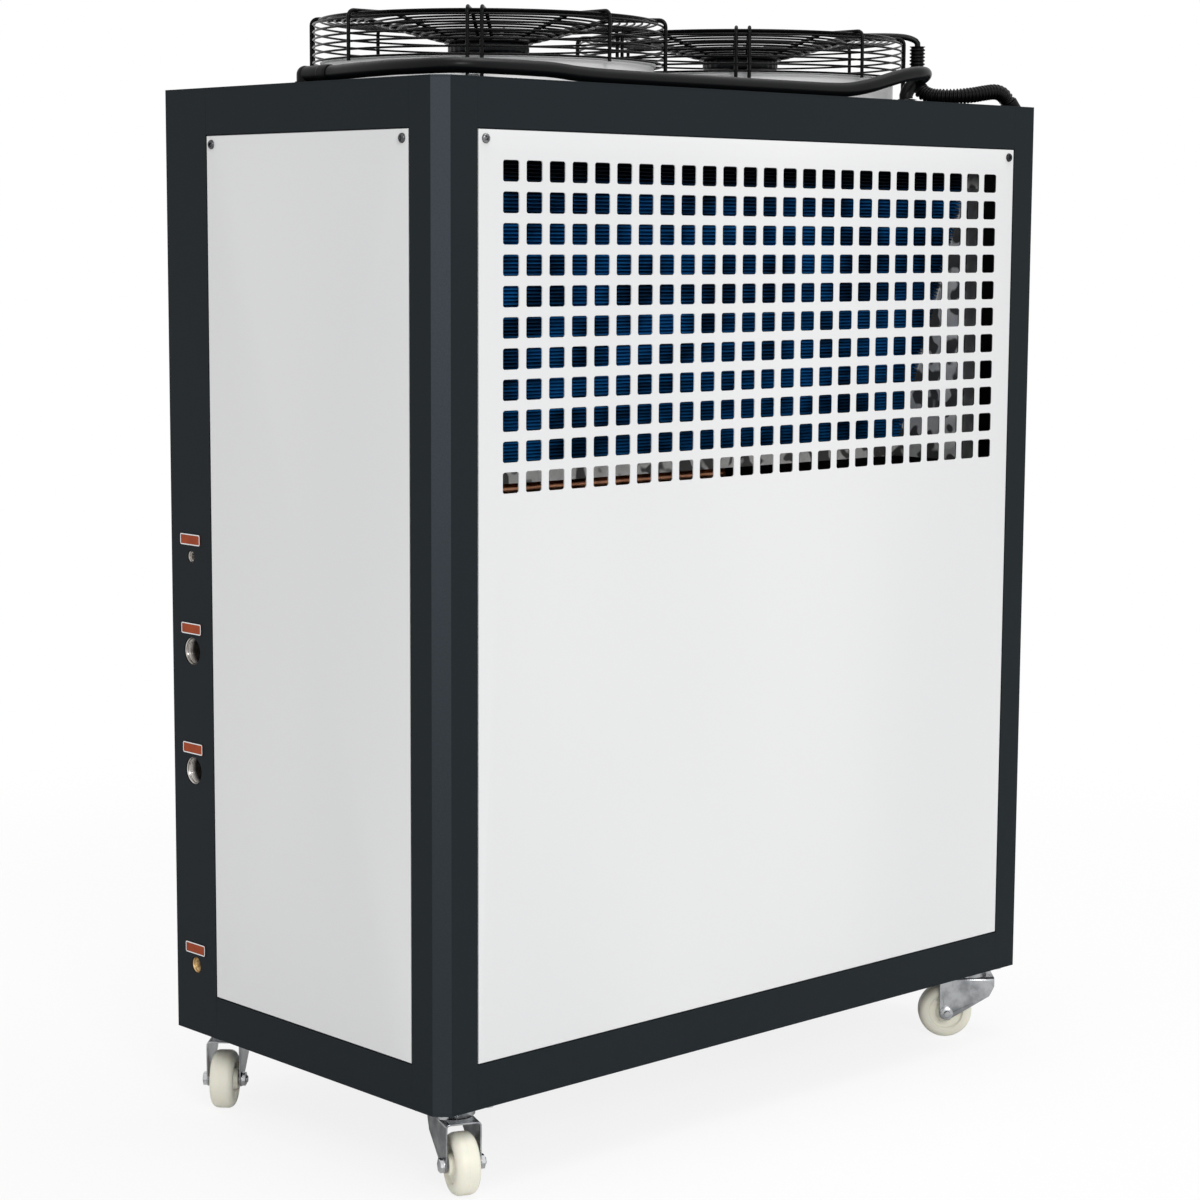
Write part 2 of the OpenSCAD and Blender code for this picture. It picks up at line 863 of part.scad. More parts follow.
// Bolt and nut through the fork and the wheel
module axle(i) {
    color(zinc)
        at_caster(i)
            translate([trail, 0, wheel_r])
                rotate([90, 0, 0]) {
                    cylinder(h = fork_w + 2 * hex_t, r = axle_r, center = true);
                    for (s = [0, 1])
                        mirror([0, 0, s])
                            translate([0, 0, fork_w / 2])
                                cylinder(h = hex_t, r = hex_d / 2, $fn = 6);
                }
}

// Cables

// Middle line of each cable from the deck's middle: x to the right, y to the back, z over the deck
sleeve_route = [
    [-505, -40, 11], [-505, -52, 11], [-506, -75, 11.5], [-507, -100, 12], [-507, -130, 12.5],
    [-505, -160, 13], [-500, -188, 13], [-490, -212, 13.5], [-472, -232, 14], [-446, -243, 14],
    [-415, -247, 14], [-380, -248, 14], [-340, -248, 13.5], [-300, -247, 11], [-255, -246, 9.8],
    [-190, -245, 9.5], [-120, -245, 9.5], [-50, -245, 9.5], [20, -245, 9.5], [90, -246, 9.5],
    [140, -247, 9.8], [175, -248, 11.5], [210, -250, 17.5], [240, -251, 25], [266, -252, 31.5],
    [288, -252, 35.5], [306, -251, 37.5], [322, -246, 38], [334, -237, 37], [339, -226, 33],
    [337, -217, 27], [331, -213, 20], [326, -212, 12], [326, -212, 6.3]
];
conduit_route = [
    [396, -170, 80], [396, -170, 52], [396, -170, 40], [397, -172, 29.5], [398, -177, 21],
    [401, -185, 15.5], [405, -195, 13], [412, -209, 12.5], [424, -222, 13], [440, -232, 15],
    [457, -238, 18], [473, -242, 20], [483, -244, 18.5], [490, -245, 15], [494, -246, 11],
    [497, -247, 6.8]
];
lead_route = [
    [241, -15, 60], [241, -15, 65], [243, -17, 71], [248, -22, 75.5], [256, -30, 77], [268, -42, 76],
    [282, -56, 75.8], [296, -70, 79.2], [310, -84, 84.4], [322, -96, 88.8], [336, -110, 93],
    [352, -126, 93.8], [370, -144, 93.8], [384, -158, 92.5], [393, -167, 88.5], [396, -170, 84],
    [396, -170, 80.3]
];

// Unit direction of the route at each of its points
function route_tangents(p) = [
    for (i = [0:len(p) - 1])
        let (d = p[min(i + 1, len(p) - 1)] - p[max(i - 1, 0)])
        d / norm(d)
];

// A side direction at each point, carried along the route without twist
function route_sides(t, i = 0, last = [1, 0, 0], done = []) =
    i == len(t) ? done :
    let (
        seed = i == 0 ? cross(t[0], [0.3, 0.9, 0.2]) : last,
        flat = seed - (seed * t[i]) * t[i],
        n = flat / norm(flat)
    ) route_sides(t, i + 1, n, concat(done, [n]));

// Closed tube of few sides along a route
module swept_tube(route, d, around = 10) {
    t = route_tangents(route);
    n = route_sides(t);
    count = len(route);
    points = [
        for (i = [0:count - 1])
            for (k = [0:around - 1])
                let (a = 360 * k / around)
                route[i] + d / 2 * (cos(a) * n[i] + sin(a) * cross(t[i], n[i]))
    ];
    walls = [
        for (i = [0:count - 2])
            for (k = [0:around - 1])
                let (a = i * around + k, b = i * around + (k + 1) % around)
                each [[a, a + around, b], [b, a + around, b + around]]
    ];
    ends = [
        [for (k = [0:around - 1]) k],
        [for (k = [around - 1:-1:0]) (count - 1) * around + k]
    ];
    translate([0, 0, deck_z])
        polyhedron(points, concat(walls, ends));
}

module cable_sleeve() {
    color(black)
        swept_tube(sleeve_route, sleeve_d);
}

module fan_conduit() {
    color(black)
        swept_tube(conduit_route, conduit_d);
}

module fan_lead() {
    color(black)
        swept_tube(lead_route, lead_d, 8);
}

// Elbow on the deck that a cable goes into: a stub, a knuckle and a nozzle towards the cable
module elbow_gland(tip, toward, d) {
    r = d / 2 + gland_wall;
    turn = atan2(toward.y, toward.x);
    translate([tip.x, tip.y, deck_z])
        rotate([0, 0, turn]) {
            translate([-gland_l, 0, tip.z])
                rotate([0, 90, 0])
                    cylinder(h = gland_l - cord_gap, r = r);
            translate([-gland_l, 0, tip.z])
                sphere(r);
            translate([-gland_l, 0, 0])
                cylinder(h = tip.z, r = r);
        }
}

// Collar that a cable slants down into, cut level with the deck
module slant_gland(tip, away, d) {
    dip = atan2(-away.z, norm([away.x, away.y]));
    translate([0, 0, deck_z])
        difference() {
            translate(tip)
                rotate([0, 90 + dip, atan2(away.y, away.x)])
                    translate([0, 0, cord_gap])
                        cylinder(h = gland_l, r = d / 2 + gland_wall);
            translate([tip.x - 2 * gland_l, tip.y - 2 * gland_l, -4 * gland_l])
                cube(4 * gland_l);
        }
}

module cable_glands() {
    last = len(conduit_route) - 1;
    grommet = sleeve_route[len(sleeve_route) - 1];
    color(black) {
        elbow_gland(sleeve_route[0], sleeve_route[1] - sleeve_route[0], sleeve_d);
        slant_gland(conduit_route[last], conduit_route[last] - conduit_route[last - 1], conduit_d);
        translate([grommet.x, grommet.y, deck_z])
            cylinder(h = grommet.z - cord_gap, r = sleeve_d / 2 + grommet_w);
    }
}

at_corner(0) post(stile_w, end_stile_w);  // post_front_left
at_corner(1) post(stile_w, end_stile_w);  // post_front_right
fitting_post();  // post_rear_left
at_corner(3) post(stile_w, end_stile_w);  // post_rear_right
rails(0, cab_w, stile_w, stile_w);  // front_rails
rails(1, cab_d, end_stile_w, end_stile_w);  // right_rails
rails(2, cab_w, stile_w, stile_w);  // rear_rails
rails(3, cab_d, fitting_stile_w, end_stile_w);  // left_rails
panel(0, cab_w, stile_w, stile_w, true);  // front_panel
panel(1, cab_d, end_stile_w, end_stile_w);  // right_panel
panel(2, cab_w, stile_w, stile_w, true);  // rear_panel
panel(3, cab_d, fitting_stile_w, end_stile_w);  // left_panel
top_deck();
floor_plate();
fan_ring(-1);  // fan_ring_left
fan_ring(1);  // fan_ring_right
fan_guard(-1);  // fan_guard_left
fan_guard(1);  // fan_guard_right
fan_motor(-1);  // fan_motor_left
fan_motor(1);  // fan_motor_right
fan_rotor(-1);  // fan_rotor_left
fan_rotor(1);  // fan_rotor_right
coil(false);  // coil_front
coil(true);  // coil_rear
coil_frame(false);  // coil_frame_front
coil_frame(true);  // coil_frame_rear
liquid_line();
socket(fill_z, fill_bore, zinc);  // fill_inlet
socket(inlet_z, water_bore, zinc);  // water_inlet
socket(outlet_z, water_bore, zinc);  // water_outlet
socket(drain_z, drain_bore, copper);  // drain_outlet
label_plates();
caster_plates();
fork(0);  // fork_fl
fork(1);  // fork_fr
fork(2);  // fork_rl
fork(3);  // fork_rr
wheel(0);  // wheel_fl
wheel(1);  // wheel_fr
wheel(2);  // wheel_rl
wheel(3);  // wheel_rr
axle(0);  // axle_fl
axle(1);  // axle_fr
axle(2);  // axle_rl
axle(3);  // axle_rr
cable_glands();
cable_sleeve();
fan_conduit();
fan_lead();
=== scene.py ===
"""Looks of an air cooled water chiller: a slate frame with white panels on casters, two fans on top
under wire guards, a V condenser behind a perforated front, and water sockets on the left end.

Every new shape is a surface worked out with numpy, in metres, in the frame of the construction: +X
runs along the perforated front, +Y to the back, +Z up, and the origin is on the floor under the
middle of the cabinet.
"""

from __future__ import annotations

import json
import logging
import math
from dataclasses import dataclass
from enum import Enum
from typing import Any, Iterable, Sequence, Union

import bmesh
import bpy
import numpy as np
from mathutils import Matrix, Vector

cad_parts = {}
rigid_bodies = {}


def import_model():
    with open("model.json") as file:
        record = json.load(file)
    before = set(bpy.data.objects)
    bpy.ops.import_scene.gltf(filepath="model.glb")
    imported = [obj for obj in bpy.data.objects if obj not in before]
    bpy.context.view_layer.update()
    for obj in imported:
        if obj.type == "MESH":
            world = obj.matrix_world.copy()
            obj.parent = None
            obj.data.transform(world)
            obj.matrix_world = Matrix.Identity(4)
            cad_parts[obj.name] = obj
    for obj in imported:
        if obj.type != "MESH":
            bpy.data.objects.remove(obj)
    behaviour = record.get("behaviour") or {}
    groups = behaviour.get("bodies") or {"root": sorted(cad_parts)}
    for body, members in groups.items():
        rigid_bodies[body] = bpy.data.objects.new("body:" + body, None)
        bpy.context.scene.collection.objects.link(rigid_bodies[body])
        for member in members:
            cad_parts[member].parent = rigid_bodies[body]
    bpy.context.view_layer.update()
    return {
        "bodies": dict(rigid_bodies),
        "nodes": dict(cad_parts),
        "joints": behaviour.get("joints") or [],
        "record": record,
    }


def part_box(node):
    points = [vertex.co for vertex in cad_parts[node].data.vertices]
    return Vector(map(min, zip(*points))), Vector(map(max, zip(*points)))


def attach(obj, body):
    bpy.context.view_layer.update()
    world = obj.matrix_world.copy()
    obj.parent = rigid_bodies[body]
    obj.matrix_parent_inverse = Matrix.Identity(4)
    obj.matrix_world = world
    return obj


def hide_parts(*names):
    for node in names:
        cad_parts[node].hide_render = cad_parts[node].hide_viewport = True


log = logging.getLogger("chiller")

Array = np.ndarray
Colour = tuple[float, float, float]
Value = Union["Number", float]
CABINET = "cabinet"
TURN = 2 * math.pi
UPSIDE_DOWN = np.diag([1.0, -1.0, -1.0, 1.0])
MILLIMETRE = 0.001
CASTER_PLATE_EDGE = 0.0005


# Surfaces

@dataclass(frozen=True)
class Shell:
    """Points and faces of a surface.

    Attributes:
        points: one row of x, y and z for each point.
        faces: four point numbers for each face; a triangle repeats one of its numbers.
    """

    points: Array
    faces: Array

    @staticmethod
    def joined(shells: Iterable[Shell]) -> Shell:
        """Several shells as one.

        Args:
            shells: the shells, each with point numbers from 0.

        Returns:
            One shell with all their points and faces.
        """
        parts = list(shells)
        starts = np.cumsum([0] + [len(part.points) for part in parts[:-1]])
        points = np.concatenate([part.points for part in parts])
        return Shell(points, np.concatenate([part.faces + start for part, start in zip(parts, starts)]))

    def placed(self, matrix: Array) -> Shell:
        """The shell moved by a 4 x 4 matrix."""
        return Shell(self.points @ matrix[:3, :3].T + matrix[:3, 3], self.faces)

    def repeated(self, matrices: Sequence[Array]) -> Shell:
        """One copy of the shell under each of several matrices.

        Args:
            matrices: 4 x 4 matrices, one for each copy.

        Returns:
            The copies as one shell.
        """
        stack = np.asarray(matrices)
        points = np.einsum("kij,nj->kni", stack[:, :3, :3], self.points) + stack[:, None, :3, 3]
        starts = len(self.points) * np.arange(len(stack))
        faces = self.faces[None] + starts[:, None, None]
        return Shell(points.reshape(-1, 3), faces.reshape(-1, 4))

    def welded(self) -> Shell:
        """The shell with coincident points made one, which closes its seams and poles."""
        points, index = np.unique(np.round(self.points, 6), axis=0, return_inverse=True)
        return Shell(points, index.reshape(-1)[self.faces])


def grid(points: Array, wrap_rows: bool = False, wrap_columns: bool = False) -> Shell:
    """Faces over a grid of points.

    Args:
        points: rows x columns x 3 array of places.
        wrap_rows: join the last row to the first.
        wrap_columns: join the last column to the first.

    Returns:
        The shell of quads between neighbouring rows and columns.
    """
    rows, columns = points.shape[:2]
    index = np.arange(rows * columns).reshape(rows, columns)
    if wrap_rows:
        index = np.vstack([index, index[:1]])
    if wrap_columns:
        index = np.hstack([index, index[:, :1]])
    corners = [index[:-1, :-1], index[1:, :-1], index[1:, 1:], index[:-1, 1:]]
    return Shell(points.reshape(-1, 3), np.stack(corners, axis=-1).reshape(-1, 4))


def angles(count: int) -> Array:
    """Evenly spaced angles over a whole turn, from 0."""
    return np.linspace(0, TURN, count, endpoint=False)


def circle(angle: Array) -> Array:
    """Places on the unit circle, one row for each angle."""
    return np.stack([np.cos(angle), np.sin(angle)], axis=1)


def shift(x: float, y: float, z: float) -> Array:
    """Matrix of a move.

    Args:
        x: move along +X.
        y: move along +Y.
        z: move along +Z.

    Returns:
        The 4 x 4 matrix.
    """
    matrix = np.eye(4)
    matrix[:3, 3] = x, y, z
    return matrix


def turn_z(degrees: float) -> Array:
    """Matrix of a turn about +Z.

    Args:
        degrees: the turn, anticlockwise from above.

    Returns:
        The 4 x 4 matrix.
    """
    matrix = np.eye(4)
    cosine, sine = math.cos(math.radians(degrees)), math.sin(math.radians(degrees))
    matrix[:2, :2] = [[cosine, -sine], [sine, cosine]]
    return matrix


def unit(vectors: Array) -> Array:
    """Vectors at length one, along the last axis."""
    return vectors / np.linalg.norm(vectors, axis=-1, keepdims=True)


def facing(origin: Sequence[float], normal: Sequence[float], along: Sequence[float]) -> Array:
    """Matrix of a frame on a face.

    Args:
        origin: where the frame sits.
        normal: the way that its +Z points.
        along: the way that its +X leans, made square to the normal.

    Returns:
        The 4 x 4 matrix from the frame to the world.
    """
    z_axis = unit(np.asarray(normal, float))
    lean = np.asarray(along, float)
    x_axis = unit(lean - np.dot(lean, z_axis) * z_axis)
    matrix = np.eye(4)
    matrix[:3, 0], matrix[:3, 1], matrix[:3, 2] = x_axis, np.cross(z_axis, x_axis), z_axis
    matrix[:3, 3] = origin
    return matrix


def filleted(corners: Sequence[Sequence[float]], radius: float, steps: int = 5,
             closed: bool = False) -> Array:
    """Corners joined by straight runs and arcs.

    The arc at a corner touches both runs: its middle is on their bisector, and its points are the two
    tangent radii blended by sines, so that they keep their length. Only corners are looped over.

    Args:
        corners: places in the plane or in space.
        radius: radius of each arc, less where a run is too short for it.
        steps: faces along an arc.
        closed: join the last corner to the first.

    Returns:
        The points of the line, in order.
    """
    places = np.asarray(corners, float)
    count = len(places)
    share = np.linspace(0, 1, steps + 1)[:, None]
    line = [] if closed else [places[:1]]
    for i in range(0 if closed else 1, count if closed else count - 1):
        here = places[i]
        back, ahead = places[i - 1] - here, places[(i + 1) % count] - here
        room = 0.49 * min(np.linalg.norm(back), np.linalg.norm(ahead))
        back, ahead = unit(back), unit(ahead)
        half = 0.5 * math.acos(float(np.clip(np.dot(back, ahead), -1, 1)))
        reach = min(radius / math.tan(half), room)
        middle = here + unit(back + ahead) * reach / math.cos(half)
        first, last = here + back * reach - middle, here + ahead * reach - middle
        sweep = math.pi - 2 * half
        blend = np.sin((1 - share) * sweep) * first + np.sin(share * sweep) * last
        line.append(middle + blend / math.sin(sweep))
    if not closed:
        line.append(places[-1:])
    return np.concatenate(line)


def evenly(line: Array, spacing: float) -> Array:
    """A line through the same places with its points a set distance apart.

    Each new place is looked up at its share of the length travelled from the start.

    Args:
        line: points of the line.
        spacing: distance between the new points, to a whole number of steps.

    Returns:
        The new points.
    """
    travelled = np.concatenate([[0], np.cumsum(np.linalg.norm(np.diff(line, axis=0), axis=1))])
    stops = np.linspace(0, travelled[-1], max(2, round(travelled[-1] / spacing) + 1))
    return np.stack([np.interp(stops, travelled, line[:, axis]) for axis in range(3)], axis=1)


def spline(knots: Sequence[Sequence[float]], spacing: float) -> Array:
    """Smooth line through knots.

    Between two knots the place is a cubic in its share t of the way, whose slope at each knot is half
    the step between the knots on either side of it.

    Args:
        knots: places that the line passes through.
        spacing: distance between the points that come back.

    Returns:
        The points of the line.
    """
    places = np.asarray(knots, float)
    ends = np.vstack([2 * places[0] - places[1], places, 2 * places[-1] - places[-2]])
    t = np.linspace(0, 1, 24, endpoint=False)[None, :, None]
    a, b, c, d = (ends[k:len(ends) - 3 + k, None] for k in range(4))
    cubic = 2 * b + (c - a) * t + (2 * a - 5 * b + 4 * c - d) * t ** 2 + (3 * b - a - 3 * c + d) * t ** 3
    return evenly(np.vstack([0.5 * cubic.reshape(-1, 3), places[-1:]]), spacing)


def length_of(line: Array) -> float:
    """Length of a line of points."""
    return float(np.linalg.norm(np.diff(line, axis=0), axis=1).sum())


def carried_frames(path: Array) -> tuple[Array, Array]:
    """Two directions across a path that don't twist about it.

    Each side direction is the one before it, less its part along the path's own direction.

    Args:
        path: points of the path.

    Returns:
        The side direction and the one square to it at each point.
    """
    ahead = unit(np.gradient(path, axis=0))
    last = np.eye(3)[np.argmin(np.abs(ahead[0]))]
    sides = np.empty_like(path)
    for i, direction in enumerate(ahead):
        last = unit(last - np.dot(last, direction) * direction)
        sides[i] = last
    return sides, np.cross(ahead, sides)


def tube(path: Array, radius: Union[float, Array], around: int = 20) -> Shell:
    """Round rod or tube along a path, with flat ends.

    The place at share a of the way round is the path's point plus the radius times the two carried
    directions, weighted by the cosine and sine of a turn.

    Args:
        path: points of the path.
        radius: one radius, or one for each point.
        around: faces round the tube.

    Returns:
        The closed shell.
    """
    side, across = carried_frames(path)
    angle = angles(around)[None, :, None]
    reach = np.broadcast_to(radius, len(path))[:, None, None]
    rings = path[:, None] + reach * (np.cos(angle) * side[:, None] + np.sin(angle) * across[:, None])
    caps = [np.repeat(path[end][None, None], around, axis=1) for end in (0, -1)]
    return grid(np.concatenate([caps[0], rings, caps[1]]), wrap_columns=True)


def revolve(profile: Array, around: int = 64, closed: bool = False) -> Shell:
    """Profile of radius and height turned about +Z.

    The place at an angle is the radius times its cosine and sine, at the profile's own height.

    Args:
        profile: one row of radius and height for each point.
        around: faces round the turn.
        closed: join the profile's last point to its first, as in a ring.

    Returns:
        The shell; a profile that starts and ends on the axis is closed by its poles.
    """
    angle = angles(around)[:, None]
    radius, height = profile[None, :, 0], profile[None, :, 1]
    points = np.stack([np.cos(angle) * radius, np.sin(angle) * radius, height + 0 * angle], axis=-1)
    return grid(points, wrap_rows=True, wrap_columns=closed)


def turned_ring(corners: Sequence[Sequence[float]], ease: float, steps: int, around: int) -> Shell:
    """Ring about +Z: a closed profile of radius and height with its corners rounded, turned."""
    return revolve(filleted(corners, ease, steps, closed=True), around, closed=True)


def hoop(radius: float, height: float, wire: float, around: int = 144, sides: int = 8) -> Shell:
    """Wire ring about +Z: a circle of the wire's radius, turned at the ring's radius and height."""
    return revolve(np.array([radius, height]) + wire * circle(angles(sides)), around, closed=True)


def stacked(levels: Iterable[tuple[Array, float]]) -> Array:
    """Flat outlines of equally many points, each at its own height, as the rows of a grid."""
    return np.stack([np.column_stack([ring, np.full(len(ring), height)]) for ring, height in levels])


def plate(outline: Array, thickness: float, edge: float) -> Shell:
    """Flat plate with eased edges, from height 0 up.

    Rings of the outline lie at the heights of the two faces, drawn in by the easing, and at the two
    ends of the straight wall; each face closes on the outline's middle, which has to see all of it.

    Args:
        outline: closed line in the plane, anticlockwise.
        thickness: height of the plate.
        edge: how far each edge is eased.

    Returns:
        The closed shell.
    """
    ahead = unit(np.roll(outline, -1, axis=0) - outline)
    mean = unit(ahead + np.roll(ahead, 1, axis=0))
    drawn_in = outline - edge * np.stack([mean[:, 1], -mean[:, 0]], axis=1)
    middle = np.broadcast_to(outline.mean(axis=0), outline.shape)
    rings = [middle, drawn_in, outline, outline, drawn_in, middle]
    heights = [0, 0, edge, thickness - edge, thickness, thickness]
    return grid(stacked(zip(rings, heights)), wrap_columns=True)


def rectangle(width: float, height: float, corner: float, steps: int = 4) -> Array:
    """Outline of a rectangle with round corners, about its middle."""
    x, y = width / 2, height / 2
    return filleted([(-x, -y), (x, -y), (x, y), (-x, y)], corner, steps, closed=True)


def hexagon(across_flats: float) -> Array:
    """Outline of a hexagon with slightly round corners, about its middle."""
    corners = across_flats / math.sqrt(3) * circle(angles(6))
    return filleted(corners, 0.06 * across_flats, 3, closed=True)


def washer(inner: float, outer: float, thickness: float) -> Shell:
    """Flat ring with eased edges, from height 0 up."""
    corners = [(inner, 0), (outer, 0), (outer, thickness), (inner, thickness)]
    return turned_ring(corners, 0.25 * thickness, steps=2, around=40)


def hex_head(across_flats: float, height: float) -> Shell:
    """Bolt head: a hexagon under a shallow turned dome.

    The height falls with the sixth power of the distance from the middle, so that the flats keep
    nearly all of their height at mid face and the corners are chamfered.

    Args:
        across_flats: size of the hexagon.
        height: height at the middle.

    Returns:
        The closed shell.
    """
    outline = hexagon(across_flats)
    shares = np.array([0.0, 0.35, 0.6, 0.78, 0.9, 1.0])
    flat = shares[:, None, None] * outline[None]
    away = np.linalg.norm(flat, axis=-1) / (across_flats / math.sqrt(3))
    top = height * (1 - 0.22 * away ** 6)
    rings = [np.concatenate([flat, top[..., None]], axis=-1)]
    floor = np.concatenate([outline, np.zeros((len(outline), 1))], axis=1)
    rings.append(np.stack([floor, 0 * floor]))
    return grid(np.concatenate(rings), wrap_columns=True)


@dataclass(frozen=True)
class Bolt:
    """Hexagon head on a washer.

    Attributes:
        flats: the head's size across the flats.
        height: its height.
        hole: radius of the washer's hole.
        radius: radius of the washer.
        sheet: thickness of the washer.
    """

    flats: float
    height: float
    hole: float
    radius: float
    sheet: float

    def shell(self) -> Shell:
        """The washer from height 0 up, and the head on it."""
        head = hex_head(self.flats, self.height).placed(shift(0, 0, self.sheet))
        return Shell.joined([washer(self.hole, self.radius, self.sheet), head])


def cross_head(radius: float, height: float) -> Shell:
    """Pan head screw with a cross recess, as a height over a disc.

    The head is the height times the root of one less the fourth power of the share of the radius; the
    recess is cut where a point is near one axis and not far out along it.

    Args:
        radius: radius of the head.
        height: height of the head.

    Returns:
        The closed shell.
    """
    share = np.linspace(0, 1, 19)[:, None]
    angle = angles(72)[None]
    x, y = share * np.cos(angle), share * np.sin(angle)
    beside = np.minimum(np.abs(x), np.abs(y))
    along = np.maximum(np.abs(x), np.abs(y))
    recess = np.clip((0.17 - beside) / 0.05, 0, 1) * np.clip((0.62 - along) / 0.16, 0, 1)
    z = height * (np.sqrt(np.clip(1 - share ** 4, 0, 1)) - 0.62 * recess)
    top = radius * np.stack([x, y, z / radius], axis=-1)
    return grid(np.concatenate([top, 0 * top[:1]]), wrap_columns=True)


# Shader maths

class Number:
    """A value over a surface: an output socket, on which operators add Math nodes."""

    def __init__(self, shader: Shader, socket: bpy.types.NodeSocket) -> None:
        """Wraps a socket of a shader."""
        self.shader = shader
        self.socket = socket

    def _math(self, operation: str, first: Value, second: Value) -> Number:
        """Adds one Math node."""
        return self.shader.node("ShaderNodeMath", {"operation": operation}, {0: first, 1: second})

    def __add__(self, other: Value) -> Number:
        """Sum."""
        return self._math("ADD", self, other)

    __radd__ = __add__

    def __sub__(self, other: Value) -> Number:
        """Difference."""
        return self._math("SUBTRACT", self, other)

    def __rsub__(self, other: Value) -> Number:
        """Difference from a plain number."""
        return self._math("SUBTRACT", other, self)

    def __mul__(self, other: Value) -> Number:
        """Product."""
        return self._math("MULTIPLY", self, other)

    __rmul__ = __mul__

    def __pow__(self, other: Value) -> Number:
        """Power."""
        return self._math("POWER", self, other)

    def most(self, other: Value) -> Number:
        """The larger of two values."""
        return self._math("MAXIMUM", self, other)

    def magnitude(self) -> Number:
        """The value without its sign."""
        return self._math("ABSOLUTE", self, 0.0)

    def ramp(self, low: float, high: float) -> Number:
        """Smooth step from 0 at a low value to 1 at a high one."""
        limits = {"Value": self, "From Min": low, "From Max": high}
        return self.shader.node("ShaderNodeMapRange", {"interpolation_type": "SMOOTHSTEP"}, limits)


class Shader:
    """Node tree of one material or of the world."""

    def __init__(self, tree: bpy.types.NodeTree) -> None:
        """Empties a tree and takes it over."""
        self.tree = tree
        tree.nodes.clear()

    def node(self, kind: str, settings: dict[str, Any] | None = None, inputs: dict[Any, Any] | None = None,
             output: Union[int, str] = 0) -> Number:
        """Adds any node.

        Args:
            kind: the node's type.
            settings: its own properties, set first.
            inputs: values or links of its sockets, by name or number.
            output: the socket to hand back.

        Returns:
            The chosen output.
        """
        made = self.tree.nodes.new(kind)
        for key, value in (settings or {}).items():
            setattr(made, key, value)
        for key, value in (inputs or {}).items():
            if isinstance(value, Number):
                self.tree.links.new(value.socket, made.inputs[key])
            else:
                made.inputs[key].default_value = value
        return Number(self, made.outputs[output] if len(made.outputs) else None)

    def place(self, stretch: Sequence[float] = (1, 1, 1), turn: Sequence[float] = (0, 0, 0)) -> Number:
        """Object coordinates, stretched and then turned.

        Args:
            stretch: factor along each axis.
            turn: angle about each axis, in radians.

        Returns:
            The coordinates.
        """
        where = self.node("ShaderNodeTexCoord", output="Object")
        inputs = {"Vector": where, "Scale": stretch, "Rotation": turn}
        return self.node("ShaderNodeMapping", {"vector_type": "POINT"}, inputs)

    def normal(self) -> Number:
        """Way that the surface faces, in the object's frame."""
        return self.node("ShaderNodeTexCoord", output="Normal")

    def parts(self, vector: Number) -> tuple[Number, Number, Number]:
        """The three parts of a vector."""
        split = self.node("ShaderNodeSeparateXYZ", {}, {"Vector": vector}).socket.node
        return tuple(Number(self, socket) for socket in split.outputs)

    def ray(self, kind: str) -> Number:
        """One for light paths of a kind, 0 for others."""
        return self.node("ShaderNodeLightPath", output=f"Is {kind} Ray")

    def noise(self, scale: float, detail: float = 2.0, where: Number | None = None) -> Number:
        """Soft noise from 0 to 1 with a number of waves to the metre."""
        inputs = {"Vector": where or self.place(), "Scale": scale, "Detail": detail, "Roughness": 0.55}
        return self.node("ShaderNodeTexNoise", {"noise_dimensions": "3D"}, inputs)

    def spangle(self, scale: float) -> Number:
        """One value from 0 to 1 for each cell of a crystal pattern.

        Args:
            scale: cells to the metre.

        Returns:
            The value.
        """
        inputs = {"Vector": self.place(), "Scale": scale}
        cells = self.node("ShaderNodeTexVoronoi", {"feature": "F1"}, inputs, "Color")
        return self.node("ShaderNodeSeparateColor", {"mode": "RGB"}, {"Color": cells}, "Red")

    def blend(self, share: Value, first: Any, second: Any) -> Number:
        """Colour between two colours."""
        colours = {0: share, 6: opaque(first), 7: opaque(second)}
        return self.node("ShaderNodeMix", {"data_type": "RGBA"}, colours, 2)

    def varied(self, share: Value, colour: Colour, drift: float) -> Number:
        """Colour that goes from darker to lighter than a plain one by the same part of it."""
        return self.blend(share, tint(colour, 1 - drift), tint(colour, 1 + drift))

    def bump(self, height: Number, distance: float, strength: float = 1.0) -> Number:
        """Normal of a height that spans a distance in metres."""
        inputs = {"Height": height, "Distance": distance, "Strength": strength}
        return self.node("ShaderNodeBump", {}, inputs)

    def surface(self, **inputs: Any) -> None:
        """Principled surface of a material.

        Args:
            inputs: values or links of its sockets, with _ for each space in a name.
        """
        named = {key.replace("_", " "): opaque(value) for key, value in inputs.items()}
        made = self.node("ShaderNodeBsdfPrincipled", {}, named)
        self.node("ShaderNodeOutputMaterial", {}, {"Surface": made})


def opaque(value: Any) -> Any:
    """A colour of three numbers with its fourth added, and anything else as it is."""
    return (*value, 1.0) if isinstance(value, tuple) and len(value) == 3 else value


def tint(colour: Colour, factor: float) -> Colour:
    """A colour made lighter or darker."""
    return tuple(min(1.0, part * factor) for part in colour)


# Finishes

@dataclass(frozen=True)
class Finish:
    """A finish: its name, the record's slot that it belongs to (not used), and its main colour and
    roughness.
    """

    name: str
    slot: str
    colour: Colour
    roughness: float

    def material(self) -> bpy.types.Material:
        """The finish's material, made the first time that it is asked for.

        Returns:
            The material.
        """
        found = bpy.data.materials.get(self.name)
        if found is None:
            found = bpy.data.materials.new(self.name)
            found.use_nodes = True
            self.paint(Shader(found.node_tree))
        return found

    def paint(self, shader: Shader) -> None:
        """Adds the finish's nodes.

        Args:
            shader: the material's node tree.
        """
        raise NotImplementedError


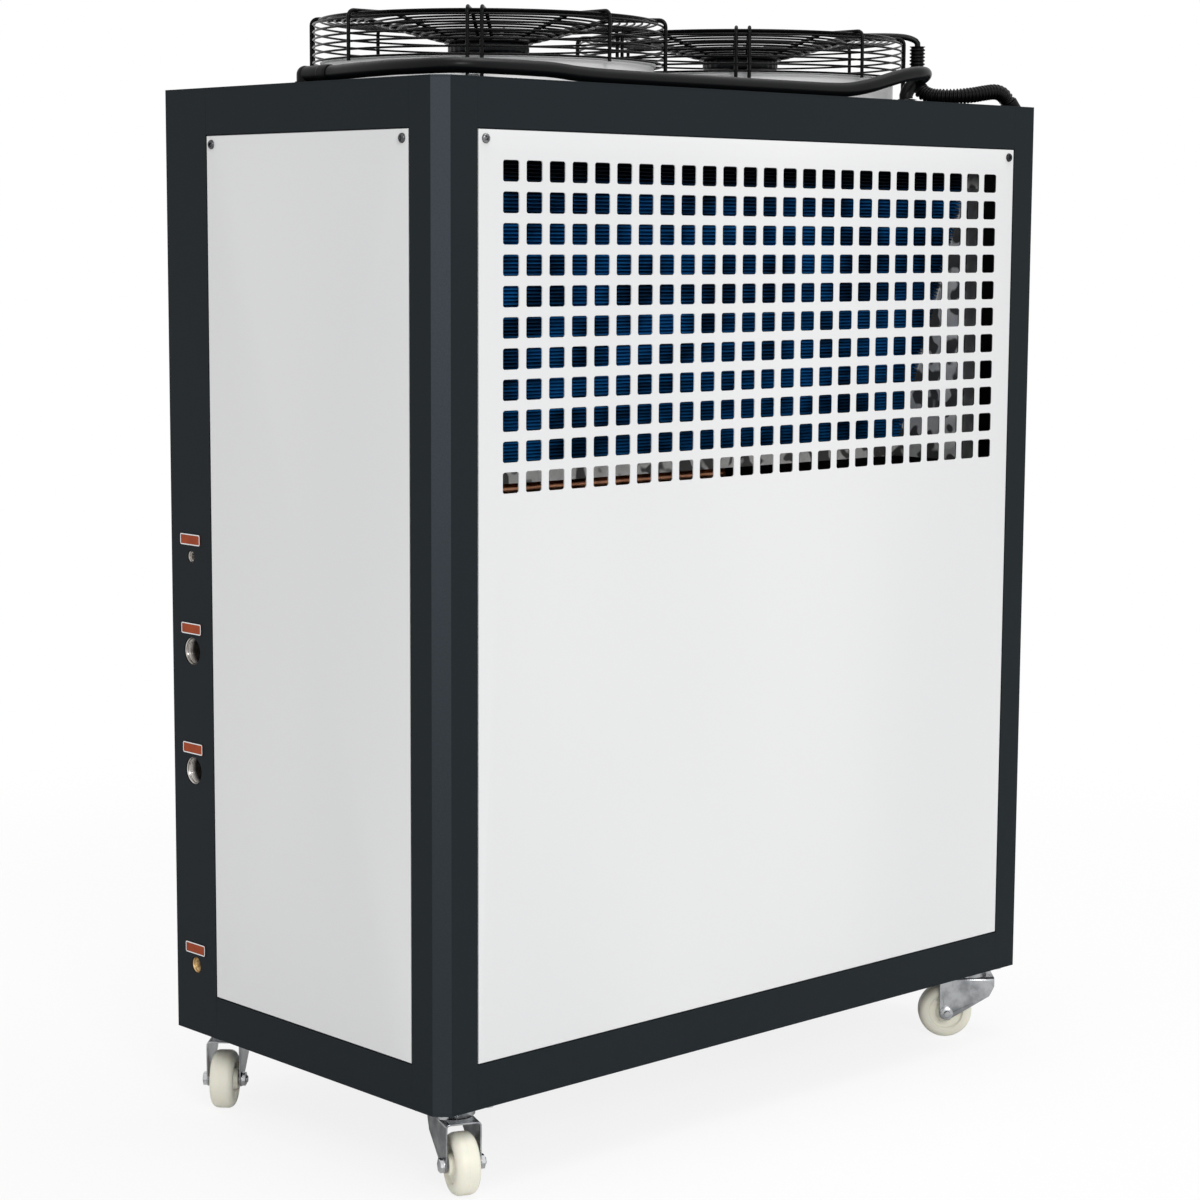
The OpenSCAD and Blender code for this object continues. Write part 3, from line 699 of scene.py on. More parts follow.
@dataclass(frozen=True)
class PowderCoat(Finish):
    """Baked powder coat: a slow drift of tone, orange peel, and a gloss that varies with the peel."""

    gloss: float = 0.5
    peel: float = 0.00006
    peel_scale: float = 520.0
    drift: float = 0.06

    def paint(self, shader: Shader) -> None:
        """Adds the coat's nodes.

        Args:
            shader: the material's node tree.
        """
        peel = shader.noise(self.peel_scale, 1.0)
        shader.surface(Base_Color=self.toned(shader, peel), Roughness=self.roughness + 0.10 * (peel - 0.5),
                       Specular_IOR_Level=self.gloss, Normal=shader.bump(peel, self.peel))

    def toned(self, shader: Shader, peel: Number) -> Number:
        """The coat's colour, which drifts slowly; the peel is for coats that vary with it."""
        return shader.varied(shader.noise(3.2, 3.0), self.colour, self.drift)


@dataclass(frozen=True)
class FrameCoat(PowderCoat):
    """Coat of the frame, with a painted sheen that pales the slanting corner facets, the more so the higher
    up.
    """

    facet_sheen: Colour = (0.05, 0.06, 0.07)
    sheen_low: float = 0.3
    sheen_span: Sequence[float] = (0.15, 1.30)
    slant_span: Sequence[float] = (0.80, 0.97)

    def toned(self, shader: Shader, peel: Number) -> Number:
        """The coat's colour, blended to a painted sheen where the surface faces between X and Y.

        Args:
            shader: the material's node tree.
            peel: the coat's orange peel, which breaks the edge of the painted sheen.

        Returns:
            The colour.
        """
        x, y, _ = shader.parts(shader.normal())
        # Painted sheen: the slanting facets are lightened, more so higher up, in place of the reflection of
        # the light.
        slant = (x * y * 2.0).magnitude().ramp(*self.slant_span)
        _, _, height = shader.parts(shader.place())
        rise = self.sheen_low + (1 - self.sheen_low) * height.ramp(*self.sheen_span)
        return shader.blend(slant * rise * (0.7 + 0.6 * peel), super().toned(shader, peel), self.facet_sheen)


@dataclass(frozen=True)
class PanelPaint(Finish):
    """Satin white coat on rolled sheet: wide slanting bands of painted sheen, fine peel, and painted shade
    on the inner side.
    """

    shade: Colour = (0.74, 0.745, 0.75)
    # Painted shade: the near-black colour of the inner side stands in for the shade inside the cabinet.
    inside: Colour = (0.012, 0.013, 0.015)
    lean: float = 0.62

    def paint(self, shader: Shader) -> None:
        """Adds the paint's nodes.

        Args:
            shader: the material's node tree.
        """
        slanted = shader.place((1.1, 1.1, 0.42), (self.lean, self.lean, 0.0))
        # Painted sheen: wide slanting bands of lighter tone in place of soft reflections of the lamps.
        sheen_bands = shader.noise(1.5, 1.0, slanted).ramp(0.30, 0.70)
        peel = shader.noise(640.0, 1.0)
        wave = shader.noise(5.0, 1.0)
        facing_x, facing_y, _ = shader.parts(shader.normal())
        x, y, _ = shader.parts(shader.place())
        # Painted shade: faces towards the cabinet's middle take the dark inner colour.
        outward = (facing_x * x + facing_y * y).ramp(-0.1, 0.02)
        colour = shader.blend(outward, self.inside, shader.blend(sheen_bands, self.shade, self.colour))
        height = 0.12 * peel + 0.88 * wave
        shader.surface(Base_Color=colour, Roughness=self.roughness + 0.08 * (sheen_bands - 0.5),
                       Specular_IOR_Level=0.45, Normal=shader.bump(height, 0.0003))


@dataclass(frozen=True)
class Galvanised(Finish):
    """Hot dipped sheet: crystal spangles under a film with sharp patches of painted light, and painted
    shadow where it lies close to the panels.
    """

    panel_shadow: Colour = (0.075, 0.077, 0.082)
    panel_shadow_span: Sequence[float] = (0.238, 0.247)

    def paint(self, shader: Shader) -> None:
        """Adds the sheet's nodes.

        Args:
            shader: the material's node tree.
        """
        crystal = shader.spangle(130.0)
        film = shader.noise(22.0, 3.0)
        mixed = 0.6 * crystal + 0.4 * film
        # Painted light: sharp patches, lit or near black, standing in for light through the panel's holes
        # and for reflections.
        light_patch = shader.noise(36.0, 1.0).ramp(0.45, 0.51)
        bright = shader.blend(mixed, tint(self.colour, 0.95), tint(self.colour, 1.15))
        colour = shader.blend(light_patch, tint(self.colour, 0.13), bright)
        _, y, _ = shader.parts(shader.place())
        # Painted shadow: the sheet darkens close to the panels, where they shade it.
        colour = shader.blend(y.magnitude().ramp(*self.panel_shadow_span), colour, self.panel_shadow)
        shader.surface(Base_Color=colour, Metallic=0.15, Roughness=self.roughness + 0.22 * (mixed - 0.5),
                       Normal=shader.bump(film, 0.0002, 0.5))


@dataclass(frozen=True)
class PlatedMetal(Finish):
    """Plated or turned metal: a cloudy passivated film, fine drawing marks and a little tarnish."""

    film: Colour = (0.52, 0.53, 0.50)
    metal: float = 1.0
    marks: float = 900.0

    def paint(self, shader: Shader) -> None:
        """Adds the plating's nodes.

        Args:
            shader: the material's node tree.
        """
        cloud = shader.noise(38.0, 4.0)
        drawn = shader.noise(self.marks, 2.0, shader.place((1.0, 1.0, 0.12)))
        colour = self.shaded(shader, shader.blend(cloud.ramp(0.36, 0.66), self.film, self.colour))
        rough = self.roughness + 0.16 * (cloud - 0.5) + 0.08 * (drawn - 0.5)
        shader.surface(Base_Color=colour, Metallic=self.metal, Roughness=rough,
                       Normal=shader.bump(drawn, 0.00002, 0.6))

    def shaded(self, shader: Shader, colour: Number) -> Number:
        """The plating's colour as it is, for a piece without painted shade."""
        return colour


@dataclass(frozen=True)
class SocketPlate(PlatedMetal):
    """Plating of a pipe socket in the left end: bright at the mouth, with painted shade darkening it down
    the bore.
    """

    bore_shade_span: Sequence[float] = (-0.5305, -0.520)
    bore_shade_tint: float = 0.03

    def shaded(self, shader: Shader, colour: Number) -> Number:
        """The plating's colour under painted shade, darker the further in it lies along X."""
        depth, _, _ = shader.parts(shader.place())
        # Painted shade: the bore darkens with depth, as a recess does in its own shade.
        return shader.blend(depth.ramp(*self.bore_shade_span), colour, tint(self.film, self.bore_shade_tint))


@dataclass(frozen=True)
class FinStock(Finish):
    """Coated fin foil: deep blue with dark drifts of painted light and shade, and painted shadow along the
    top of the coil.
    """

    top_shadow: Colour = (0.0015, 0.006, 0.012)
    top_shadow_span: Sequence[float] = (1.165, 1.20)

    def paint(self, shader: Shader) -> None:
        """Adds the foil's nodes.

        Args:
            shader: the material's node tree.
        """
        layer = shader.noise(1.0, 1.0, shader.place((3.0, 3.0, 260.0)))
        drift = shader.noise(13.0, 2.0)
        mixed = (0.35 * layer + 0.65 * drift).ramp(0.36, 0.66)
        _, _, height = shader.parts(shader.place())
        # Painted light and shade: the drifts stand in for the patches of light through the panel's holes.
        colour = shader.blend(mixed, tint(self.colour, 0.22), tint(self.colour, 1.4))
        # Painted shadow: the top of the coil darkens, standing in for the shade under the cabinet's top.
        colour = shader.blend(height.ramp(*self.top_shadow_span), colour, self.top_shadow)
        shader.surface(Base_Color=colour, Roughness=self.roughness + 0.2 * (drift - 0.5),
                       Specular_IOR_Level=0.10, Normal=shader.bump(shader.noise(420.0, 1.0), 0.00008))


@dataclass(frozen=True)
class Polymer(Finish):
    """Moulded or drawn polymer: faint mottling, a fine surface grain and patches of scuffed gloss."""

    gloss: float = 0.5
    grain: float = 0.00005
    mottle: float = 0.08
    glow: float = 0.0

    def paint(self, shader: Shader) -> None:
        """Adds the polymer's nodes.

        Args:
            shader: the material's node tree.
        """
        mottle = shader.noise(46.0, 3.0)
        grain = shader.noise(1300.0, 2.0)
        scuff = shader.noise(120.0, 4.0).ramp(0.52, 0.72)
        rough = self.roughness + 0.12 * scuff + 0.06 * (grain - 0.5)
        shader.surface(Base_Color=shader.varied(mottle, self.colour, self.mottle), Roughness=rough,
                       Specular_IOR_Level=self.gloss, Subsurface_Weight=self.glow, Subsurface_Scale=0.002,
                       Normal=shader.bump(grain, self.grain))


FRAME_COAT = FrameCoat("slate frame coat", "frame_paint", (0.0168, 0.0215, 0.0248), 0.46, gloss=0.03)
PANEL_COAT = PanelPaint("white panel coat", "panel_white", (0.80, 0.803, 0.805), 0.38)
RING_COAT = PowderCoat("white ring coat", "ring_white", (0.97, 0.97, 0.97), 0.34, drift=0.01)
WIRE_ENAMEL = PowderCoat("black wire enamel", "guard_black", (0.0022, 0.0022, 0.0026), 0.26, gloss=0.10)
MOTOR_COAT = PowderCoat("grey motor coat", "motor_grey", (0.018, 0.020, 0.023), 0.34, gloss=0.2)
BLADE_COAT = PowderCoat("black blade coat", "blade_black", (0.0045, 0.0045, 0.005), 0.38, gloss=0.16)
FIN_FOIL = FinStock("blue fin foil", "fin_blue", (0.005, 0.104, 0.31), 0.42)
GALVANISED = Galvanised("galvanised sheet", "galvanised", (0.84, 0.84, 0.82), 0.42)
COPPER = PlatedMetal("drawn copper", "copper", (0.74, 0.36, 0.21), 0.30, film=(0.50, 0.22, 0.12))
SOCKET_STEEL = SocketPlate("plated socket", "fitting_steel", (0.62, 0.59, 0.56), 0.24,
                           film=(0.34, 0.31, 0.28))
SOCKET_BRASS = SocketPlate("turned brass", "fitting_brass", (0.72, 0.50, 0.24), 0.28,
                           film=(0.50, 0.32, 0.14))
LABEL_FACE = PlatedMetal("copper label face", "label_copper", (0.33, 0.058, 0.015), 0.44,
                         film=(0.24, 0.040, 0.011), metal=0.9)
LABEL_RIM = PlatedMetal("bright label rim", "fitting_steel", (0.80, 0.81, 0.82), 0.30,
                        film=(0.70, 0.71, 0.72), metal=0.6)
ZINC = PlatedMetal("zinc plate", "zinc", (0.46, 0.47, 0.48), 0.24, film=(0.24, 0.25, 0.26))
BOLT_ZINC = PlatedMetal("bright bolt plate", "bolt_zinc", (0.66, 0.67, 0.69), 0.22, film=(0.42, 0.43, 0.44))
BLACK_OXIDE = PlatedMetal("black oxide screw", "guard_black", (0.20, 0.205, 0.21), 0.22,
                          film=(0.03, 0.032, 0.035), metal=0.9)
NYLON = Polymer("cream nylon", "wheel_nylon", (0.84, 0.82, 0.70), 0.40, mottle=0.03, glow=0.12)
GLAND_NYLON = Polymer("black gland nylon", "gland_black", (0.0032, 0.0033, 0.0038), 0.40, gloss=0.10)
SLEEVE_RUBBER = Polymer("black sleeve rubber", "sleeve_black", (0.0028, 0.003, 0.0036), 0.30, gloss=0.15)
CONDUIT_PLASTIC = Polymer("black conduit plastic", "conduit_black", (0.003, 0.003, 0.0034), 0.30,
                          gloss=0.12)


# Pieces

class Workshop:
    """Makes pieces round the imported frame, and dresses the nodes that keep their own shape."""

    def __init__(self, frame: dict[str, Any]) -> None:
        """Keeps the frame's nodes and record."""
        self.nodes = frame["nodes"]
        self.record = frame["record"]

    def span(self, node: str) -> tuple[Array, Array]:
        """Lowest and highest corner of a node."""
        low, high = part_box(node)
        return np.array(low, float), np.array(high, float)

    def piece(self, name: str, shell: Shell, finish: Finish, body: str = CABINET,
              stands_for: Sequence[str] = (), crease: float = 35.0) -> bpy.types.Object:
        """Makes a mesh object of a shell, with its faces outward and its sharp edges marked.

        Args:
            name: the piece's name.
            shell: its surface.
            finish: its finish.
            body: the body that carries it.
            stands_for: the nodes that it replaces.
            crease: the angle in degrees past which an edge is sharp.

        Returns:
            The new object.
        """
        whole = shell.welded()
        repeated = whole.faces == np.roll(whole.faces, -1, axis=1)
        sizes = 4 - repeated.sum(axis=1)
        kept = sizes >= 3
        loops = whole.faces[kept][~repeated[kept]]
        starts = np.concatenate([[0], np.cumsum(sizes[kept])[:-1]])
        mesh = bpy.data.meshes.new(name)
        mesh.vertices.add(len(whole.points))
        mesh.vertices.foreach_set("co", whole.points.ravel())
        mesh.loops.add(len(loops))
        mesh.loops.foreach_set("vertex_index", loops.astype(np.int32))
        mesh.polygons.add(len(starts))
        mesh.polygons.foreach_set("loop_start", starts.astype(np.int32))
        mesh.update(calc_edges=True)
        mesh.validate()
        shape = bmesh.new()
        shape.from_mesh(mesh)
        bmesh.ops.recalc_face_normals(shape, faces=shape.faces)
        shape.to_mesh(mesh)
        shape.free()
        mesh.shade_smooth()
        mesh.set_sharp_from_angle(angle=math.radians(crease))
        mesh.materials.append(finish.material())
        made = bpy.data.objects.new(name, mesh)
        bpy.context.scene.collection.objects.link(made)
        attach(made, body)
        if stands_for:
            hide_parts(*stands_for)
        log.info("%s: %d faces on %s", name, len(mesh.polygons), body)
        return made

    def dress(self, node: str, finish: Finish, edge: float = 0.0) -> None:
        """Gives a node its finish, and eases its edges where a size is given.

        Args:
            node: the node's name.
            finish: its finish.
            edge: width of the easing.
        """
        shape = self.nodes[node]
        if not shape.material_slots:
            shape.data.materials.append(None)
        for slot in shape.material_slots:
            slot.material = finish.material()
        if edge > 0:
            shape.modifiers.new("seams", "WELD").merge_threshold = 0.00001
            bevel = shape.modifiers.new("eased edges", "BEVEL")
            bevel.width = edge
            bevel.segments = 2
            bevel.limit_method = "ANGLE"
            bevel.angle_limit = math.radians(40)
            bevel.use_clamp_overlap = True
        log.info("%s: dressed with %s", node, finish.name)


# The studio

@dataclass(frozen=True)
class Lamp:
    """Soft square lamp: where it stands, what it faces, its side and its power in watts."""

    name: str
    stand: Sequence[float]
    target: Sequence[float]
    side: float
    power: float

    def build(self) -> None:
        """Adds the lamp."""
        light = bpy.data.lights.new(self.name, "AREA")
        light.shape = "SQUARE"
        light.size = self.side
        light.energy = self.power
        lamp = bpy.data.objects.new(self.name, light)
        aim = Vector(self.target) - Vector(self.stand)
        turned = aim.to_track_quat("-Z", "Y").to_matrix().to_4x4()
        lamp.matrix_world = Matrix.Translation(self.stand) @ turned
        bpy.context.scene.collection.objects.link(lamp)


@dataclass(frozen=True)
class Studio:
    """Camera, lamps, white room and floor."""

    eye: Sequence[float] = (-2.5566, -2.7050, 1.1242)
    azimuth: float = 43.050
    pitch: float = 7.371
    roll: float = 0.315
    focal_pixels: float = 2799.65
    image_pixels: float = 1200.0
    film: float = 36.0
    ambient: float = 0.70
    floor_radius: float = 3.2
    floor_colour: Colour = (0.86, 0.86, 0.86)
    floor_lift: float = 0.85
    floor_fade: Sequence[float] = (0.35, 0.8)
    lamps: Sequence[Lamp] = (
        Lamp("key lamp", (-4.0, -8.6, 5.2), (0.0, 0.0, 0.75), 2.6, 318.0),
        Lamp("top lamp", (0.4, -0.6, 4.4), (0.0, 0.0, 1.2), 2.4, 60.0),
    )

    def build(self) -> None:
        """Makes the whole studio."""
        bpy.context.scene.view_settings.view_transform = "Standard"
        self.set_camera()
        for lamp in self.lamps:
            lamp.build()
        self.light_room()
        self.lay_floor()

    def set_camera(self) -> None:
        """Adds the camera where the picture was taken from."""
        lens = bpy.data.cameras.new("camera")
        lens.sensor_width = self.film
        lens.lens = self.film * self.focal_pixels / self.image_pixels
        swing, dip, tilt = (math.radians(angle) for angle in (self.azimuth, self.pitch, self.roll))
        right = Vector((math.cos(swing), -math.sin(swing), 0.0))
        level = Vector((math.sin(swing), math.cos(swing), 0.0))
        ahead = level * math.cos(dip) - Vector((0, 0, math.sin(dip)))
        up = right.cross(ahead)
        x_axis = right * math.cos(tilt) + up * math.sin(tilt)
        y_axis = up * math.cos(tilt) - right * math.sin(tilt)
        camera = bpy.data.objects.new("camera", lens)
        turned = Matrix((x_axis, y_axis, -ahead)).transposed().to_4x4()
        camera.matrix_world = Matrix.Translation(self.eye) @ turned
        bpy.context.scene.collection.objects.link(camera)
        bpy.context.scene.camera = camera

    def light_room(self) -> None:
        """Makes the world white to the eye, to gloss and through glass, and softer as light."""
        world = bpy.data.worlds.new("white room")
        bpy.context.scene.world = world
        world.use_nodes = True
        shader = Shader(world.node_tree)
        seen = shader.ray("Camera").most(shader.ray("Glossy")).most(shader.ray("Transmission"))
        strength = self.ambient + (1 - self.ambient) * seen
        room = shader.node("ShaderNodeBackground", {}, {"Color": (1, 1, 1, 1), "Strength": strength})
        shader.node("ShaderNodeOutputWorld", {}, {"Surface": room})

    def lay_floor(self) -> None:
        """Adds a pale floor that keeps the shadow and fades out into the white room."""
        share = np.array([[0.0, 0.0], [1.0, 0.0]]) * self.floor_radius
        disc = revolve(share, 96).welded()
        mesh = bpy.data.meshes.new("floor")
        triangles = [list(dict.fromkeys(face)) for face in disc.faces.tolist()]
        mesh.from_pydata(disc.points.tolist(), [], triangles)
        floor = bpy.data.objects.new("floor", mesh)
        bpy.context.scene.collection.objects.link(floor)
        material = bpy.data.materials.new("pale floor")
        material.use_nodes = True
        shader = Shader(material.node_tree)
        x, y, _ = shader.parts(shader.place())
        away = (x * x + y * y) ** 0.5
        seen = shader.ray("Camera")
        matt = shader.node("ShaderNodeBsdfDiffuse", {}, {"Color": opaque(self.floor_colour)})
        white = shader.node("ShaderNodeEmission", {}, {"Color": (1, 1, 1, 1), "Strength": 1.0})
        clear = shader.node("ShaderNodeBsdfTransparent")
        pale = shader.node("ShaderNodeMixShader", {}, {0: self.floor_lift * seen, 1: matt, 2: white})
        fade = away.ramp(*(share * self.floor_radius for share in self.floor_fade))
        whole = shader.node("ShaderNodeMixShader", {}, {0: fade, 1: pale, 2: clear})
        shader.node("ShaderNodeOutputMaterial", {}, {"Surface": whole})
        mesh.materials.append(material)


# Cables on the deck

def on_deck(deck: float, route: Sequence[Sequence[float]]) -> Array:
    """A route in millimetres over the deck, as places in metres."""
    return np.asarray(route, float) * MILLIMETRE + np.array([0.0, 0.0, deck])


@dataclass(frozen=True)
class Cables:
    """Rubber sleeve, corrugated conduit and fan lead, with the glands that they go into."""

    deck: float
    sleeve_diameter: float = 0.018
    conduit_diameter: float = 0.021
    lead_diameter: float = 0.008
    rib_pitch: float = 0.0047
    rib_depth: float = 0.0019
    rib_flat: float = 1.6
    gland_length: float = 0.050
    gland_wall: float = 0.0015
    gland_flange: float = 0.002
    flange_height: float = 0.0025
    flange_slope: float = 0.0005
    cord_gap: float = 0.0003
    grommet_height: float = 0.006
    grommet_radius: float = 0.013
    grommet_slack: float = 0.0004
    grommet_round: float = 0.0012
    gland_slack: float = 0.0003
    gland_step: float = 0.0007
    gland_round: float = 0.0004
    cord_step: float = 0.004
    cord_sides: int = 28
    sleeve_route: Sequence[Sequence[float]] = (
        (-505, -40, 11), (-505, -52, 11), (-506, -75, 11.5), (-507, -100, 12), (-507, -130, 12.5),
        (-505, -160, 13), (-500, -188, 13), (-490, -212, 13.5), (-472, -232, 14), (-446, -243, 14),
        (-415, -247, 14), (-380, -248, 14), (-340, -248, 13.5), (-300, -247, 11), (-255, -246, 9.8),
        (-190, -245, 9.5), (-120, -245, 9.5), (-50, -245, 9.5), (20, -245, 9.5), (90, -246, 9.5),
        (140, -247, 9.8), (175, -248, 11.5), (210, -250, 17.5), (240, -251, 25), (266, -252, 31.5),
        (288, -252, 35.5), (306, -251, 37.5), (322, -246, 38), (334, -237, 37), (339, -226, 33),
        (337, -217, 27), (331, -213, 20), (326, -212, 12), (326, -212, 6.3))
    conduit_route: Sequence[Sequence[float]] = (
        (396, -170, 80), (396, -170, 52), (396, -170, 40), (397, -172, 29.5), (398, -177, 21),
        (401, -185, 15.5), (405, -195, 13), (412, -209, 12.5), (424, -222, 13), (440, -232, 15),
        (457, -238, 18), (473, -242, 20), (483, -244, 18.5), (490, -245, 15), (494, -246, 11),
        (497, -247, 6.8))
    lead_route: Sequence[Sequence[float]] = (
        (241, -15, 60), (241, -15, 65), (243, -17, 71), (248, -22, 75.5), (256, -30, 77), (268, -42, 76),
        (282, -56, 75.8), (296, -70, 79.2), (310, -84, 84.4), (322, -96, 88.8), (336, -110, 93),
        (352, -126, 93.8), (370, -144, 93.8), (384, -158, 92.5), (393, -167, 88.5), (396, -170, 84),
        (396, -170, 80.3))

    def build(self, shop: Workshop) -> None:
        """Makes the three cords and their glands.

        Args:
            shop: the workshop.
        """
        self.lay(shop, "sleeve", self.sleeve_route, self.sleeve_diameter, SLEEVE_RUBBER, "cable_sleeve")
        self.lay(shop, "conduit", self.conduit_route, self.conduit_diameter, CONDUIT_PLASTIC, "fan_conduit",
                 self.rib_depth)
        self.lay(shop, "lead", self.lead_route, self.lead_diameter, SLEEVE_RUBBER, "fan_lead")
        shop.piece("cable_gland_bodies", self.glands(), GLAND_NYLON, stands_for=["cable_glands"])

    def lay(self, shop: Workshop, name: str, route: Sequence[Sequence[float]], diameter: float,
            finish: Finish, node: str, ribs: float = 0.0) -> None:
        """Args:
            shop: the workshop.
            name: the cord's name.
            route: its points, in millimetres over the deck.
            diameter: its outer diameter.
            finish: its finish.
            node: the node that it stands for.
            ribs: depth of its ribs; the radius then falls and rises with a flattened cosine.
        """
        path = spline(on_deck(self.deck, route), self.rib_pitch / 8 if ribs else self.cord_step)
        travelled = np.linspace(0, length_of(path), len(path))
        wave = np.clip(self.rib_flat * np.cos(TURN * travelled / self.rib_pitch), -1, 1)
        radius = diameter / 2 - ribs * (0.5 - 0.5 * wave)
        shell = tube(path, radius, self.cord_sides)
        cord = shop.piece(name, shell, finish, stands_for=[node], crease=60.0)

    def glands(self) -> Shell:
        """Elbow gland of the sleeve, slanting collar of the conduit, and the grommet of the sleeve.

        Returns:
            The closed shells of the three.
        """
        sleeve, conduit = (on_deck(self.deck, route) for route in (self.sleeve_route, self.conduit_route))
        start = self.elbow(sleeve[0], sleeve[0] - sleeve[1], self.sleeve_diameter)
        end = self.collar(conduit[-1], unit(conduit[-1] - conduit[-2]), self.conduit_diameter)
        inner = self.sleeve_diameter / 2 + self.grommet_slack
        outer, top = self.grommet_radius, self.grommet_height
        corners = [(inner, 0), (outer, 0), (outer, 0.5 * top), (0.8 * outer, top), (inner, top)]
        grommet = turned_ring(corners, self.grommet_round, steps=4, around=48)
        x, y, _ = sleeve[-1]
        return Shell.joined([start, end, grommet.placed(shift(x, y, self.deck))])

    def elbow(self, tip: Array, away: Array, diameter: float) -> Shell:
        """Elbow gland: a stepped nozzle, a ball knuckle and a flange on the deck.

        Args:
            tip: where the cord leaves the nozzle.
            away: the way from the cord into the gland.
            diameter: the cord's diameter.

        Returns:
            The closed shells of the gland.
        """
        level = unit(away * np.array([1.0, 1.0, 0.0]))
        foot = tip + level * self.gland_length
        bore, outer = diameter / 2 + self.gland_slack, diameter / 2 + self.gland_wall
        length, neck = self.gland_length, outer - self.gland_step
        nozzle = [(bore, 0), (outer - self.gland_round, 0), (outer, 0.1 * length), (outer, 0.32 * length),
                  (neck, 0.36 * length), (neck, length), (bore, length)]
        pipe = turned_ring(nozzle, self.gland_round, steps=3, around=40)
        pipe = pipe.placed(facing(tip + self.cord_gap * level, level, (0, 0, 1)))
        ball = [(outer * math.sin(t), outer * math.cos(t)) for t in np.linspace(0, math.pi / 2, 9)]
        drop, flange = self.deck - foot[2], outer + self.gland_flange
        top = drop + self.flange_height
        stub = [(outer, top + self.flange_slope), (flange, top), (flange, drop), (0, drop)]
        knuckle = revolve(np.array(ball + stub), 40).placed(shift(*foot))
        return Shell.joined([pipe, knuckle])

    def collar(self, tip: Array, ahead: Array, diameter: float) -> Shell:
        """Collar that a cord slants down into: each line of its wall runs on until it meets the deck.

        Args:
            tip: where the cord ends.
            ahead: the way that the cord is going, downwards.
            diameter: the cord's diameter.

        Returns:
            The closed shell.
        """
        side = unit(np.cross(ahead, (0.0, 0.0, 1.0)))
        over = np.cross(side, ahead)
        angle = angles(48)[:, None]
        spoke = np.cos(angle) * side + np.sin(angle) * over
        outer, lip = diameter / 2 + self.gland_wall, 0.3 * self.gland_wall
        start = tip + self.cord_gap * ahead
        mouth, eased = start + (outer - lip) * spoke, start + lip * ahead + outer * spoke
        fall = np.maximum(eased[:, 2:] - self.deck, 0) / -ahead[2]
        base = eased + fall * ahead
        rings = [0 * mouth + start, mouth, eased, base, 0 * base + base.mean(axis=0)]
        return grid(np.stack(rings), wrap_columns=True)


# Cabinet

@dataclass(frozen=True)
class Frame:
    """Posts, rails, deck and floor plate, which keep their own shape under a slate coat."""

    edge: float = 0.00025
    corners: Sequence[str] = ("front_left", "front_right", "rear_left", "rear_right")
    sides: Sequence[str] = ("front", "right", "rear", "left")

    def build(self, shop: Workshop) -> None:
        """Dresses the frame's nodes.

        Args:
            shop: the workshop.
        """
        names = [f"post_{corner}" for corner in self.corners] + [f"{side}_rails" for side in self.sides]
        for name in names + ["top_deck", "floor_plate"]:
            shop.dress(name, FRAME_COAT, self.edge)


class Face(Enum):
    """A side of the cabinet: the way along it, seen from outside, and the way out of it."""

    FRONT = ((1, 0, 0), (0, -1, 0))
    RIGHT = ((0, 1, 0), (1, 0, 0))
    REAR = ((-1, 0, 0), (0, 1, 0))
    LEFT = ((0, -1, 0), (-1, 0, 0))

    def sheet_frame(self, low: Array, high: Array) -> tuple[Array, Array]:
        """Frame of a sheet on this side.

        Args:
            low: lowest corner of the sheet's box.
            high: highest corner.

        Returns:
            The matrix whose origin is the sheet's lower left corner on its outer face, and the sheet's
            width, height and thickness.
        """
        along, out = (np.array(way, float) for way in self.value)
        corner = np.where(along - out >= 0, low, high)
        size = high - low
        width, thickness = abs(float(size @ along)), abs(float(size @ out))
        return facing(corner, out, along), np.array([width, size[2], thickness])


def all_round(quarter: Array) -> Array:
    """A closed outline of a quarter and its copies turned by one, two and three quarters of a turn."""
    turns = [(1, 0, 0, 1), (0, -1, 1, 0), (-1, 0, 0, -1), (0, 1, -1, 0)]
    return np.concatenate([quarter @ np.array(turn).reshape(2, 2).T for turn in turns])


